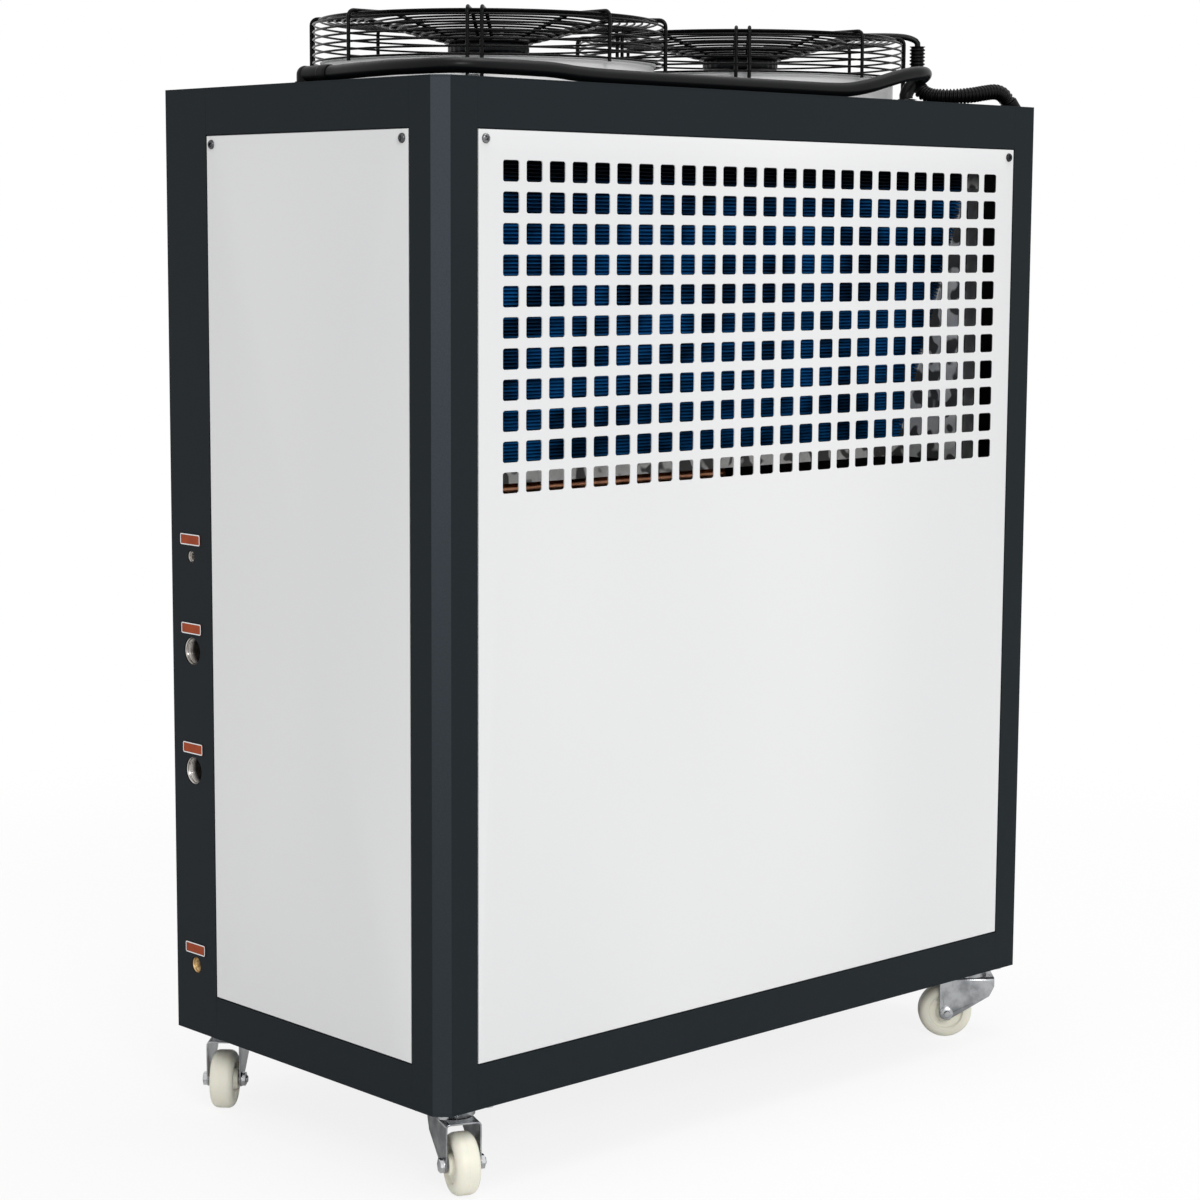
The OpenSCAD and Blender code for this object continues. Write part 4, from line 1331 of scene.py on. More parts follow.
@dataclass(frozen=True)
class Grille:
    """Square holes with round corners, punched in rows and columns."""

    columns: int = 25
    rows: int = 11
    pitch: float = 0.0357
    side: float = 0.0245
    corner: float = 0.003
    top_row: float = 0.046
    lip: float = 0.0004
    arc: int = 4

    def ring(self, half: float, corner: float) -> Array:
        """Outline of a hole: arcs at its four corners, with a fixed number of points in each."""
        angle = np.linspace(0, math.pi / 2, self.arc + 1)
        return all_round(half - corner + corner * circle(angle))

    def stops(self) -> Array:
        """Places along half a cell's side that match the points of a hole's corner arc."""
        near, far = self.side / 2 - self.corner, self.pitch / 2
        return np.linspace(near, far, self.arc // 2 + 1)

    def cell_ring(self) -> Array:
        """Outline of the square cell round a hole, point for point with the hole's own outline.

        Returns:
            The outline's points.
        """
        stops, far = self.stops(), self.pitch / 2
        rising = np.stack([np.full(len(stops), far), stops], axis=1)
        falling = np.stack([stops[-2::-1], np.full(len(stops) - 1, far)], axis=1)
        return all_round(np.concatenate([rising, falling]))

    def edge_line(self, count: int) -> Array:
        """Places along a row of cells, from 0, where the cells' outlines have their points.

        Args:
            count: number of cells in the row.

        Returns:
            The places.
        """
        stops = self.stops()
        one = self.pitch / 2 + np.concatenate([-stops[::-1], stops[:-1]])
        return (self.pitch * np.arange(count)[:, None] + one).ravel()

    def holes(self, middle: Array, thickness: float) -> Shell:
        """All cells of the pattern.

        Each cell is a stack of rings: its square outline on the face, the hole's outline widened by the
        lip, the hole's wall, and the same again on the back.

        Args:
            middle: middle of the pattern on the face.
            thickness: the sheet's thickness.

        Returns:
            The shell of the cells, open along the outer side of the pattern.
        """
        half, lip = self.side / 2, self.lip
        hole, wide = self.ring(half, self.corner), self.ring(half + lip, self.corner + lip)
        square = self.cell_ring()
        levels = [(square, 0), (wide, 0), (hole, -lip), (hole, lip - thickness), (wide, -thickness),
                  (square, -thickness)]
        cell = grid(stacked(levels), wrap_columns=True)
        x = (np.arange(self.columns) - (self.columns - 1) / 2) * self.pitch + middle[0]
        y = (np.arange(self.rows) - (self.rows - 1) / 2) * self.pitch + middle[1]
        return cell.repeated([shift(column, row, 0) for row in y for column in x])


@dataclass(frozen=True)
class Panel:
    """One sheet panel with a folded edge, perforated or plain, held by two screws at its top."""

    node: str
    face: Face
    grille: Grille | None = None
    fold: float = 0.0013
    screw_inset: float = 0.0105
    screw_radius: float = 0.0058
    screw_height: float = 0.0030
    screw_turn: float = 25.0
    screw_turn_per_metre: float = 400.0

    def build(self, shop: Workshop) -> None:
        """Makes the sheet and its screws.

        Args:
            shop: the workshop.
        """
        frame, size = self.face.sheet_frame(*shop.span(self.node))
        sheet = self.sheet(size).placed(frame)
        shop.piece(f"{self.node}_sheet", sheet, PANEL_COAT, stands_for=[self.node])
        screw = cross_head(self.screw_radius, self.screw_height)
        ends = [self.screw_inset, size[0] - self.screw_inset]
        level = size[1] - self.screw_inset
        turns = [turn_z(self.screw_turn + self.screw_turn_per_metre * x) for x in ends]
        spots = [frame @ shift(x, level, 0) @ turn for x, turn in zip(ends, turns)]
        shop.piece(f"{self.node}_screws", screw.repeated(spots), BLACK_OXIDE)

    def sheet(self, size: Array) -> Shell:
        """The sheet in its own frame, its face at height 0.

        A line round the panel is drawn as rings: the inner line on the face, the panel's own outline
        drawn in by the fold, the round of the fold, the wall, and the inner line on the back.

        Args:
            size: width, height and thickness.

        Returns:
            The closed shell.
        """
        width, height, thickness = size
        if self.grille is None:
            span = np.linspace(0, 1, 12, endpoint=False)
            line = self.square_line(span, span)
            inner = np.broadcast_to([width / 2, height / 2], line.shape)
            return grid(self.rings(line, inner, size), wrap_columns=True)
        grille = self.grille
        block = np.array([grille.columns, grille.rows]) * grille.pitch
        middle = np.array([width / 2, height - grille.top_row - (grille.rows - 1) / 2 * grille.pitch])
        across, up = grille.edge_line(grille.columns), grille.edge_line(grille.rows)
        line = self.square_line(across / block[0], up / block[1])
        inner = middle - block / 2 + line * block
        border = grid(self.rings(line, inner, size), wrap_columns=True)
        return Shell.joined([border, grille.holes(middle, thickness)])

    def square_line(self, across: Array, up: Array) -> Array:
        """Line round the unit square through given shares of its sides, anticlockwise.

        Args:
            across: shares of the bottom and top side.
            up: shares of the right and left side.

        Returns:
            The line's points.
        """
        bottom = np.column_stack([across, 0 * across])
        right = np.column_stack([1 + 0 * up, up])
        return np.concatenate([bottom, right, 1 - bottom, 1 - right])

    def rings(self, line: Array, inner: Array, size: Array) -> Array:
        """Rings from the inner line on the face round the panel's edge to the inner line on the back.

        Args:
            line: line round the unit square.
            inner: the inner line, point for point with it.
            size: width, height and thickness of the panel.

        Returns:
            The rings, as the rows of a grid.
        """
        fold, thickness = self.fold, size[2]
        levels = [(inner, 0.0)]
        for angle in np.linspace(0, math.pi / 2, 4):
            draw = fold * (1 - math.sin(angle))
            levels.append((draw + line * (size[:2] - 2 * draw), fold * (math.cos(angle) - 1)))
        levels += [(line * size[:2], -thickness), (inner, -thickness)]
        return stacked(levels)


# Fans

@dataclass(frozen=True)
class FanUnit:
    """One fan: sheet ring, wire guard on four feet, motor under the guard's plate, and rotor.

    Attributes:
        side: left or right.
        deck: height of the deck's top.
        weld: how far a hoop's middle lies clear of the rods, as a share of the wire's radius.
        foot_hole: place of a foot's bolt, as a share of the foot's length.
        plate_bolt_circle: place of the motor's bolts, as a share of the plate's radius.
    """

    side: str
    deck: float
    ring_radius: float = 0.205
    ring_sheet: float = 0.0025
    ring_height: float = 0.035
    ring_drop: float = 0.040
    ring_flange: float = 0.006
    ring_lip: float = 0.003
    ring_bend: float = 0.0011
    guard_radius: float = 0.224
    guard_height: float = 0.092
    guard_low: float = 0.034
    rod: float = 0.00235
    wire: float = 0.00135
    wire_pitch: float = 0.0094
    rod_bend: float = 0.008
    rod_sides: int = 12
    rod_tail: float = 0.0045
    shoulder: float = 0.0135
    weld: float = 0.6
    dish_radius: float = 0.152
    plate_radius: float = 0.056
    plate_hole: float = 0.028
    plate_low: float = 0.060
    plate_thickness: float = 0.003
    rod_end: float = 0.0515
    arm_gap: float = 0.017
    arm_angle: float = 45.0
    foot: Sequence[float] = (0.032, 0.026, 0.003)
    foot_start: float = 0.214
    foot_corner: float = 0.004
    foot_edge: float = 0.0005
    foot_bolt: Bolt = Bolt(0.013, 0.0055, 0.0042, 0.0085, 0.0016)
    foot_hole: float = 0.62
    plate_bolt: Sequence[float] = (0.008, 0.0035)
    plate_bolt_circle: float = 0.75
    plate_bolt_angle: float = 22.0
    motor_radius: float = 0.051
    motor_height: float = 0.012
    motor_chamfer: Sequence[float] = (0.001, 0.002)
    motor_round: float = 0.0015
    flutes: int = 30
    flute_depth: float = 0.0008
    flute_flat: float = 1.8
    flute_span: Sequence[float] = (0.94, 0.99)
    stub: float = 0.010
    rotor_top: float = 0.043
    hub_radius: float = 0.049
    hub_height: float = 0.071
    hub_wall: float = 0.002
    hub_cap: float = 0.006
    hub_chamfer: float = 0.004
    hub_round: float = 0.0035
    shaft_radius: float = 0.008
    blades: int = 5
    blade_root: float = 0.0466
    blade_tip: float = 0.195
    root_chord: float = 0.060
    tip_chord: float = 0.112
    root_pitch: float = 38.0
    tip_pitch: float = 23.0
    sweep: float = 24.0
    camber: float = 0.06
    blade_sheet: float = 0.0024
    blade_level: float = 0.0035

    def build(self, shop: Workshop) -> None:
        """Makes the fan's pieces.

        Args:
            shop: the workshop.
        """
        low, high = shop.span(f"fan_ring_{self.side}")
        x, y, _ = (low + high) / 2
        seat = shift(x, y, self.deck)
        name = self.side
        made = self.ring(), self.guard(), self.bolts(), self.motor(), self.rotor()
        ring, guard, bolts, motor, rotor = (shell.placed(seat) for shell in made)
        shop.piece(f"fan_{name}_ring", ring, RING_COAT, stands_for=[f"fan_ring_{name}"])
        shop.piece(f"fan_{name}_guard", guard, WIRE_ENAMEL, stands_for=[f"fan_guard_{name}"], crease=50.0)
        shop.piece(f"fan_{name}_bolts", bolts, BOLT_ZINC)
        shop.piece(f"fan_{name}_motor", motor, MOTOR_COAT, stands_for=[f"fan_motor_{name}"])
        shop.piece(f"fan_{name}_rotor", rotor, BLADE_COAT, f"{name}_impeller", [f"fan_rotor_{name}"], 50.0)

    def quarters(self, start: float) -> list[Array]:
        """Four turns, a quarter apart."""
        return [turn_z(start + 90 * quarter) for quarter in range(4)]

    def ring(self) -> Shell:
        """Sheet ring: a wall through the deck, a flange on it, and a lip rolled out at the top.

        Returns:
            The closed shell.
        """
        inner, outer = self.ring_radius, self.ring_radius + self.ring_sheet
        flange, lip = outer + self.ring_flange, outer + self.ring_lip
        low, top, sheet = -self.ring_drop, self.ring_height, self.ring_sheet
        corners = [(inner, low), (outer, low), (outer, 0), (flange, 0), (flange, sheet), (outer, sheet),
                   (outer, top - sheet), (lip, top - sheet), (lip, top), (inner, top)]
        return turned_ring(corners, self.ring_bend, steps=4, around=160)

    def dish_under(self, radius: float) -> float:
        """Height of the rods' underside over the dish, a straight slope from the plate to the rim."""
        low, high = self.plate_low + self.plate_thickness / 2, self.guard_height - 2 * self.rod
        return low + (high - low) * (radius - self.rod_end) / (self.dish_radius - self.rod_end)

    def rod_path(self, foot: float) -> Array:
        """Line of a guard rod: up the side, over the shoulder, in along the top and down the dish.

        Args:
            foot: height of the rod's lower end over the deck.

        Returns:
            The line's points.
        """
        out, top = self.guard_radius - self.rod, self.guard_height - self.rod
        inner = self.dish_under(self.rod_end) + self.rod
        corners = [(out, 0, foot), (out, 0, top), (self.dish_radius, 0, top), (self.rod_end, 0, inner)]
        return filleted(corners, self.rod_bend, 6)

    def guard(self) -> Shell:
        """Wire guard: hoops down the side, over the top and down the dish, rods, plate and feet.

        Returns:
            The closed shells of the wires, the plate and the feet.
        """
        wire, pitch, sunk = self.wire, self.wire_pitch, self.weld * self.wire
        side_rows = int((self.guard_height - 4 * self.rod - self.guard_low) / pitch) + 1
        top_rows = int((self.guard_radius - self.shoulder - self.dish_radius) / pitch) + 1
        dish_rows = int((self.dish_radius - self.plate_radius - pitch) / pitch)
        under = self.guard_height - 2 * self.rod - sunk
        inside = self.guard_radius - 2 * self.rod - sunk
        hoops = [hoop(inside, self.guard_low + pitch * row, wire) for row in range(side_rows)]
        hoops += [hoop(self.dish_radius + 2 * wire + pitch * row, under, wire) for row in range(top_rows)]
        for row in range(1, dish_rows + 1):
            radius = self.dish_radius - pitch * row
            hoops.append(hoop(radius, self.dish_under(radius) - sunk, wire))
        single = tube(self.rod_path(self.guard_low - self.rod_tail), self.rod, self.rod_sides)
        single = single.repeated(self.quarters(0))
        length, width, thickness = self.foot
        pair = tube(self.rod_path(thickness / 2), self.rod, self.rod_sides)
        pair = pair.repeated([shift(0, side * self.arm_gap / 2, 0) for side in (-1, 1)])
        tab = plate(rectangle(length, width, self.foot_corner), thickness, self.foot_edge)
        tab = tab.placed(shift(self.foot_start + length / 2, 0, 0))
        arms = Shell.joined([pair, tab]).repeated(self.quarters(self.arm_angle))
        disc = washer(self.plate_hole, self.plate_radius, self.plate_thickness)
        return Shell.joined(hoops + [single, arms, disc.placed(shift(0, 0, self.plate_low))])

    def bolts(self) -> Shell:
        """Bolts with washers in the four feet, and four smaller ones that hold the motor to the plate.

        Returns:
            The closed shells of the bolts.
        """
        spot = shift(self.foot_start + self.foot_hole * self.foot[0], 0, self.foot[2])
        foot = self.foot_bolt.shell().placed(spot)
        top = self.plate_low + self.plate_thickness
        small = hex_head(*self.plate_bolt).placed(shift(self.plate_bolt_circle * self.plate_radius, 0, top))
        foot = foot.repeated(self.quarters(self.arm_angle))
        return Shell.joined([foot, small.repeated(self.quarters(self.plate_bolt_angle))])

    def motor(self) -> Shell:
        """Motor body: a turned can whose wall is fluted, with its shaft below.

        The wall's radius falls by the flute's depth with a flattened cosine of the turn.

        Returns:
            The closed shell.
        """
        top, low = self.plate_low, self.plate_low - self.motor_height
        rim = self.motor_radius
        shaft, end = self.shaft_radius, low - self.stub
        draw, drop = self.motor_chamfer
        corners = [(0.0, top), (rim - draw, top), (rim, top - drop), (rim, low + drop), (rim - draw, low),
                   (shaft, low), (shaft, end), (0.0, end)]
        can = revolve(filleted(corners, self.motor_round, 4), around=180)
        angle = np.arctan2(can.points[:, 1], can.points[:, 0])
        reach = np.hypot(can.points[:, 0], can.points[:, 1])
        start, full = (share * rim for share in self.flute_span)
        wall = np.clip((reach - start) / (full - start), 0, 1)
        flute = 0.5 + 0.5 * np.clip(self.flute_flat * np.cos(self.flutes * angle), -1, 1)
        shrink = 1 - wall * flute * self.flute_depth / rim
        points = can.points * np.column_stack([shrink, shrink, np.ones(len(shrink))])
        return Shell(points, can.faces)

    def rotor(self) -> Shell:
        """Rotor: a turned hub with swept, twisted and cambered sheet blades.

        Returns:
            The closed shells of the hub and the blades.
        """
        top, low, hub = self.rotor_top, self.rotor_top - self.hub_height, self.hub_radius
        chamfer, inner, under = self.hub_chamfer, hub - self.hub_wall, top - self.hub_cap
        corners = [(0.0, top), (hub - chamfer, top), (hub, top - chamfer), (hub, low), (inner, low),
                   (inner, under), (0.0, under)]
        core = revolve(filleted(corners, self.hub_round, 4), around=96)
        turns = [turn_z(360 / self.blades * blade) for blade in range(self.blades)]
        return Shell.joined([core, self.blade().repeated(turns)])

    def blade(self) -> Shell:
        """One blade, over its share of the span and the turn round its section.

        The chord and pitch change evenly from root to tip, and the middle line swings back with the
        square of the span. A section is a thin flattened loop: u runs along the chord and the lift is
        half the sheet on either side; the height is u times the half chord's rise, plus the camber
        times one less u squared, plus the lift.

        Returns:
            The closed shell.
        """
        span = np.concatenate([[0], np.linspace(0, 1, 25), [1]])[:, None]
        loop = angles(48)[None]
        radius = self.blade_root + span * (self.blade_tip - self.blade_root)
        half = (self.root_chord + span * (self.tip_chord - self.root_chord)) / 2
        pitch = np.radians(self.root_pitch + span * (self.tip_pitch - self.root_pitch))
        u = np.cos(loop) + 0 * span
        lift = 0.5 * self.blade_sheet * np.sign(np.sin(loop)) * np.abs(np.sin(loop)) ** 0.3
        lift = lift * np.concatenate([[0], np.ones(25), [0]])[:, None]
        angle = np.radians(self.sweep) * span ** 2 + u * half * np.cos(pitch) / radius
        rise = u * half * np.sin(pitch) + 2 * half * self.camber * (1 - u ** 2) + lift / np.cos(pitch)
        x, y = radius * np.cos(angle), radius * np.sin(angle)
        return grid(np.stack([x, y, self.blade_level + rise], axis=-1), wrap_columns=True)


# Condenser

@dataclass(frozen=True)
class Condenser:
    """Two leaning coils of thin fins in galvanised frames, and the copper line below the front one."""

    across: float = 0.06928
    fin_pitch: float = 0.0046
    fin_sheet: float = 0.0013
    frame_edge: float = 0.0004
    bend: float = 0.030
    baffle_back: float = 0.016
    baffle_sheet: float = 0.0012
    baffle_lip: float = 0.025
    baffle_tip: float = 0.25
    baffle_ease: float = 0.2
    channel: float = 0.022

    def build(self, shop: Workshop) -> None:
        """Makes the fin stacks, the baffles beside them and the line, and dresses the frames.

        Args:
            shop: the workshop.
        """
        for side, sign in (("front", 1.0), ("rear", -1.0)):
            low, high = shop.span(f"coil_{side}")
            fins = self.fins(low, high, sign)
            shop.piece(f"coil_{side}_fins", fins, FIN_FOIL, stands_for=[f"coil_{side}"])
            shop.piece(f"coil_{side}_baffles", self.baffles(low, high, sign), GALVANISED)
            shop.dress(f"coil_frame_{side}", GALVANISED, self.frame_edge)
        line = self.line(*shop.span("liquid_line"))
        shop.piece("liquid_line_tube", line, COPPER, stands_for=["liquid_line"])

    def lean(self, low: Array, high: Array) -> float:
        """How far a coil's face steps inwards for each metre down, from the corners of its box."""
        return (high[1] - low[1] - self.across) / (high[2] - low[2])

    def fins(self, low: Array, high: Array, sign: float) -> Shell:
        """Stack of fins square to the coil's leaning face, which steps inwards on its way down.

        Args:
            low: lowest corner of the coil's box.
            high: highest corner.
            sign: 1 where the coil faces the front, -1 where it faces the back.

        Returns:
            The closed shells of the fins.
        """
        lean = self.lean(low, high)
        slope = math.atan(lean)
        deep, rise = self.across * math.cos(slope) ** 2, self.across * math.cos(slope) * math.sin(slope)
        step = self.fin_pitch * math.cos(slope)
        level = np.arange(low[2] + step / 2, high[2] - rise - step / 2, step)
        inward = lean * (high[2] - level)
        face = low[1] + inward if sign > 0 else high[1] - inward
        half = self.fin_sheet / 2
        section = filleted([(0, -half), (deep, rise - half), (deep, rise + half), (0, half)], 0.9 * half, 2,
                           closed=True)
        ends = np.array([low[0], high[0]])
        flat = section * np.array([sign, 1])
        rings = np.stack([np.column_stack([np.full(len(flat), x), flat]) for x in ends])
        caps = rings * np.array([1, 0, 0]) + np.array([0, sign * deep / 2, rise / 2])
        fin = grid(np.concatenate([caps[:1], rings, caps[1:]]), wrap_columns=True)
        return fin.repeated([shift(0, y, z) for y, z in zip(face, level)])

    def baffles(self, low: Array, high: Array, sign: float) -> Shell:
        """Sheets that close the wedges between a coil's two ends and its panel.

        A sheet runs from the coil's leaning face to an upright edge near the panel, and is turned
        outwards there in a lip. It ends at the top where it has narrowed to a part of the edge's setback.

        Args:
            low: lowest corner of the coil's box.
            high: highest corner.
            sign: 1 where the coil faces the front, -1 where it faces the back.

        Returns:
            The closed shells of the sheets and their lips.
        """
        lean = self.lean(low, high)
        outer = low[1] if sign > 0 else high[1]
        edge = outer + sign * self.baffle_back
        foot, top = low[2] - self.channel, high[2] - (1 + self.baffle_tip) * self.baffle_back / lean
        face = [outer + sign * lean * (high[2] - z) for z in (foot, top)]
        wedge = np.array([(edge, foot), (face[0], foot), (face[1], top), (edge, top)])[::int(sign)]
        ease = self.baffle_ease * self.baffle_sheet
        shells = []
        upright = facing((0, edge, 0), (0, -1, 0), (1, 0, 0))
        for end, way in ((low[0], -1), (high[0], 1)):
            across = facing((end + way * self.baffle_sheet, 0, 0), (1, 0, 0), (0, 1, 0))
            shells.append(plate(wedge, self.baffle_sheet, ease).placed(across))
            lip_end = end + way * self.baffle_lip
            lip = np.array([(end, foot), (lip_end, foot), (lip_end, top), (end, top)])[::way]
            shells.append(plate(lip, self.baffle_sheet, ease).placed(upright))
        return Shell.joined(shells)

    def line(self, low: Array, high: Array) -> Shell:
        """Copper line: a straight run whose two ends bend back to the coil.

        Args:
            low: lowest corner of the line's box.
            high: highest corner.

        Returns:
            The closed shell.
        """
        radius = (high[2] - low[2]) / 2
        left, right = low[0] + radius, high[0] - radius
        near, far, level = low[1] + radius, high[1], (low[2] + high[2]) / 2
        corners = [(left, far, level), (left, near, level), (right, near, level), (right, far, level)]
        return tube(filleted(corners, self.bend, 14), radius, 32)


# Water fittings

@dataclass(frozen=True)
class Socket:
    """One threaded pipe socket behind the left end.

    Attributes:
        node: the node that it stands for.
        mount: the record's mount that gives its place and bore.
        finish: its finish.
        pitch: pitch of its thread.
        label_rise: height of its label's middle over its own.
    """

    node: str
    mount: str
    finish: Finish
    pitch: float
    label_rise: float


@dataclass(frozen=True)
class WaterFittings:
    """Four sockets with parallel threads, and the bare label plate over each."""

    wall: float = 0.004
    thread_depth: float = 0.0011
    thread_start: float = 0.0015
    thread_rest: float = 0.001
    end_wall: float = 0.004
    edge: float = 0.0004
    chamfer: Sequence[float] = (0.0009, 0.0012)
    label: Sequence[float] = (0.042, 0.014)
    label_corner: Sequence[float] = (0.0005, 0.0025)
    rim: float = 0.0013
    sockets: Sequence[Socket] = (
        Socket("fill_inlet", "fill_inlet", SOCKET_STEEL, 0.0013, 0.0215),
        Socket("water_inlet", "water_inlet", SOCKET_STEEL, 0.0023, 0.029),
        Socket("water_outlet", "water_outlet", SOCKET_STEEL, 0.0023, 0.029),
        Socket("drain_outlet", "drain", SOCKET_BRASS, 0.0018, 0.0215))

    def build(self, shop: Workshop) -> None:
        """Makes the sockets and the labels' rims, and dresses the labels.

        Args:
            shop: the workshop.
        """
        mounts = {mount["name"]: mount for mount in shop.record["mounts"]}
        shop.dress("label_plates", LABEL_FACE)
        spots = []
        for socket in self.sockets:
            mount = mounts[socket.mount]
            bore = mount["dims"]["r_mm"] * MILLIMETRE
            low, high = shop.span(socket.node)
            place = facing((low[0], *mount["pos_m"][1:]), (1, 0, 0), (0, 0, 1))
            shell = self.socket(bore, high[0] - low[0], socket.pitch).placed(place)
            shop.piece(f"{socket.node}_socket", shell, socket.finish, stands_for=[socket.node])
            _, y, z = mount["pos_m"]
            spots.append((y, z + socket.label_rise))
        outer = shop.span("label_plates")[0][0]
        frames = [facing((outer, y, z), (-1, 0, 0), (0, -1, 0)) for y, z in spots]
        shop.piece("label_rims", self.label_rim().repeated(frames), LABEL_RIM)

    def socket(self, bore: float, length: float, pitch: float) -> Shell:
        """Socket along +Z with its mouth at height 0.

        Rings run from the middle of the back over the outer wall and the chamfered mouth, down the
        thread and across the blind end. The thread's radius is the bore's less a triangle wave of the
        depth along the pitch, and the wave moves on by one pitch each turn.

        Args:
            bore: radius of the bore.
            length: length of the socket.
            pitch: pitch of the thread.

        Returns:
            The closed shell.
        """
        angle = angles(72)[None]
        deep = length - self.end_wall
        start, stop = self.thread_start, deep - self.thread_rest
        z = np.arange(start, stop, pitch / 8)[:, None]
        phase = (z / pitch - angle / TURN) % 1.0
        crest = 1 - np.abs(2 * phase - 1)
        fade = np.clip((z - start) / pitch, 0, 1) * np.clip((stop - z) / pitch, 0, 1)
        thread = bore - self.thread_depth * crest * fade
        wall, edge = bore + self.wall, self.edge
        wide, deep_in = self.chamfer
        flat = np.ones_like(angle)
        rows = [(0 * flat, length), (wall * flat, length), (wall * flat, edge), ((wall - edge) * flat, 0.0),
                ((bore + wide) * flat, 0.0), (bore * flat, deep_in)]
        rows += [(ring[None], float(height)) for ring, height in zip(thread, z[:, 0])]
        rows += [(bore * flat, deep), (0 * flat, deep)]
        radius = np.concatenate([ring for ring, _ in rows])
        height = np.array([level for _, level in rows])[:, None] + 0 * radius
        points = np.stack([radius * np.cos(angle), radius * np.sin(angle), height], axis=-1)
        return grid(points, wrap_columns=True)

    def label_rim(self) -> Shell:
        """Raised rim of a label: the plate's outline and the same drawn in, with a rounded top.

        Returns:
            The closed shell.
        """
        width, height = self.label
        draw = np.array([0.0, 0.0002, 0.5, 0.9998, 1.0]) * self.rim
        lift = np.array([-0.0004, 0.0003, 0.0006, 0.0003, -0.0004])
        least, most = self.label_corner
        rings = [rectangle(width - 2 * inset, height - 2 * inset, max(least, most - inset))
                 for inset in draw]
        return grid(stacked(zip(rings, lift)), wrap_rows=True, wrap_columns=True)


# Casters

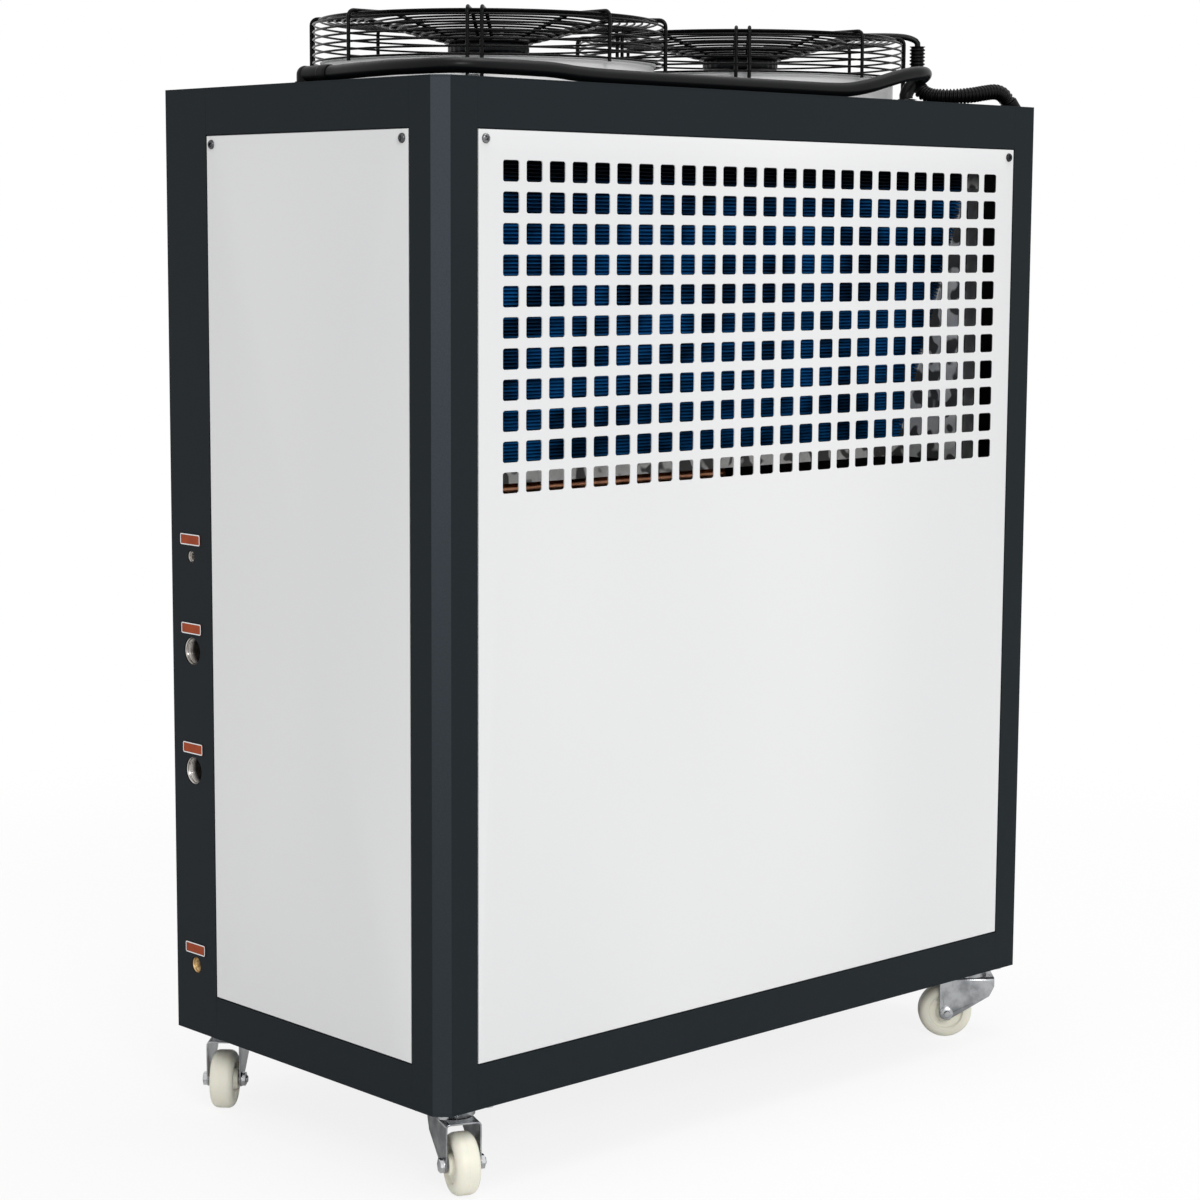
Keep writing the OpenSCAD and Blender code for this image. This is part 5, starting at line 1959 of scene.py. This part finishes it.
@dataclass(frozen=True)
class Caster:
    """One swivel caster: plate, race, fork, nylon wheel and axle bolt."""

    corner: str
    side: Sequence[float]
    angle: float
    swivel: Sequence[float] = (0.477, 0.228)
    height: float = 0.104
    trail: float = 0.032
    wheel_radius: float = 0.0375
    wheel_width: float = 0.030
    wheel_crown: float = 0.009
    hub_radius: float = 0.013
    dish: float = 0.004
    rim: float = 0.004
    axle_radius: float = 0.005
    fork_width: float = 0.0444
    fork_edge: float = 0.0006
    wheel_slack: float = 0.0003
    hub_stand: float = 0.003
    hub_ease: float = 0.0015
    draft: float = 0.001
    seam: float = 0.00025
    seam_half: float = 0.0006
    mould_round: float = 0.0012
    axle_nut: Bolt = Bolt(0.016, 0.005, 0.0052, 0.0092, 0.0012)
    axle_stub: float = 0.0078
    axle_point: float = 0.0013
    axle_draw: float = 0.001
    plate: Sequence[float] = (0.092, 0.066, 0.003)
    plate_bolt: Bolt = Bolt(0.012, 0.0048, 0.0036, 0.0078, 0.0014)
    plate_bolt_inset: Sequence[float] = (0.011, 0.010)
    plate_bolt_turn: Sequence[float] = (17, 31)

    def build(self, shop: Workshop) -> None:
        """Makes the wheel, the axle and the plate's bolts, and dresses the fork.

        Args:
            shop: the workshop.
        """
        x, y = self.side[0] * self.swivel[0], self.side[1] * self.swivel[1]
        swing = shift(x, y, 0) @ turn_z(self.angle)
        axis = swing @ facing((self.trail, 0, self.wheel_radius), (0, 1, 0), (1, 0, 0))
        name = self.corner
        shop.dress(f"fork_{name}", ZINC, self.fork_edge)
        wheel, axle = self.wheel().placed(axis), self.axle().placed(axis)
        shop.piece(f"caster_{name}_wheel", wheel, NYLON, f"roller_{name}", [f"wheel_{name}"])
        shop.piece(f"caster_{name}_axle", axle, BOLT_ZINC, f"caster_{name}", [f"axle_{name}"])
        seat = shift(x, y, self.height - self.plate[2])
        shop.piece(f"caster_{name}_bolts", self.plate_bolts().placed(seat), BOLT_ZINC)

    def wheel(self) -> Shell:
        """Moulded wheel about +Z: crowned tread with a mould seam, dished sides and a hub.

        Returns:
            The closed shell.
        """
        half, radius, hub = self.wheel_width / 2, self.wheel_radius, self.hub_radius
        rim = radius - self.wheel_crown
        web, stand = half - self.dish, half + self.hub_stand
        bore, inside = self.axle_radius + self.wheel_slack, rim - self.rim
        ease, draft = self.hub_ease, self.draft
        side = [(bore, stand), (hub - ease, stand), (hub, half + draft), (hub + draft, web),
                (inside - 2 * draft, web), (inside, half), (rim, half)]
        crown = [(rim + self.wheel_crown * math.sin(t), half - self.wheel_crown * (1 - math.cos(t)))
                 for t in np.linspace(0.2, math.pi / 2, 7)]
        seam = [(radius, self.seam_half), (radius + self.seam, 0.0)]
        upper = np.array(side + crown + seam)
        lower = upper[-2::-1] * np.array([1, -1])
        return turned_ring(np.concatenate([upper, lower]), self.mould_round, steps=3, around=96)

    def axle(self) -> Shell:
        """Axle bolt about +Z: head and washer on one cheek, washer, nut and stub of thread on the other.

        Returns:
            The closed shells of the shank, the washers, the head and the nut.
        """
        half, radius = self.fork_width / 2, self.axle_radius
        low, high = -half - self.axle_draw, half + self.axle_stub
        shank = [(0, low), (radius, low), (radius, high - self.axle_point), (radius - self.axle_draw, high),
                 (0, high)]
        nut = self.axle_nut.shell().placed(shift(0, 0, half))
        return Shell.joined([revolve(np.array(shank), 40), nut, nut.placed(UPSIDE_DOWN)])

    def plate_bolts(self) -> Shell:
        """Four bolt heads with washers under the corners of the plate.

        Returns:
            The closed shells of the bolts.
        """
        x, y = (size / 2 - inset for size, inset in zip(self.plate, self.plate_bolt_inset))
        corners = np.array([(-1, -1), (-1, 1), (1, -1), (1, 1)])
        turns = [turn_z(degrees) @ UPSIDE_DOWN for degrees in corners @ self.plate_bolt_turn]
        spots = [shift(sx * x, sy * y, 0) @ turn for (sx, sy), turn in zip(corners, turns)]
        return self.plate_bolt.shell().repeated(spots)


def main() -> None:
    """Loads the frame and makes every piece."""
    logging.basicConfig(level=logging.INFO, format="%(message)s")
    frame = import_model()
    shop = Workshop(frame)
    deck = float(shop.span("top_deck")[1][2])
    Studio().build()
    Cables(deck).build(shop)
    Frame().build(shop)
    grille = Grille()
    for node, face, pattern in (("front_panel", Face.FRONT, grille), ("right_panel", Face.RIGHT, None),
                                ("rear_panel", Face.REAR, grille), ("left_panel", Face.LEFT, None)):
        Panel(node, face, pattern).build(shop)
    for side in ("left", "right"):
        FanUnit(side, deck).build(shop)
    Condenser().build(shop)
    WaterFittings().build(shop)
    shop.dress("caster_plates", ZINC, CASTER_PLATE_EDGE)
    for corner, side, angle in (("fl", (-1, -1), -113.0), ("fr", (1, -1), 137.0), ("rl", (-1, 1), -136.0),
                                ("rr", (1, 1), 67.0)):
        Caster(corner, side, angle).build(shop)


if __name__ == "__main__":
    main()
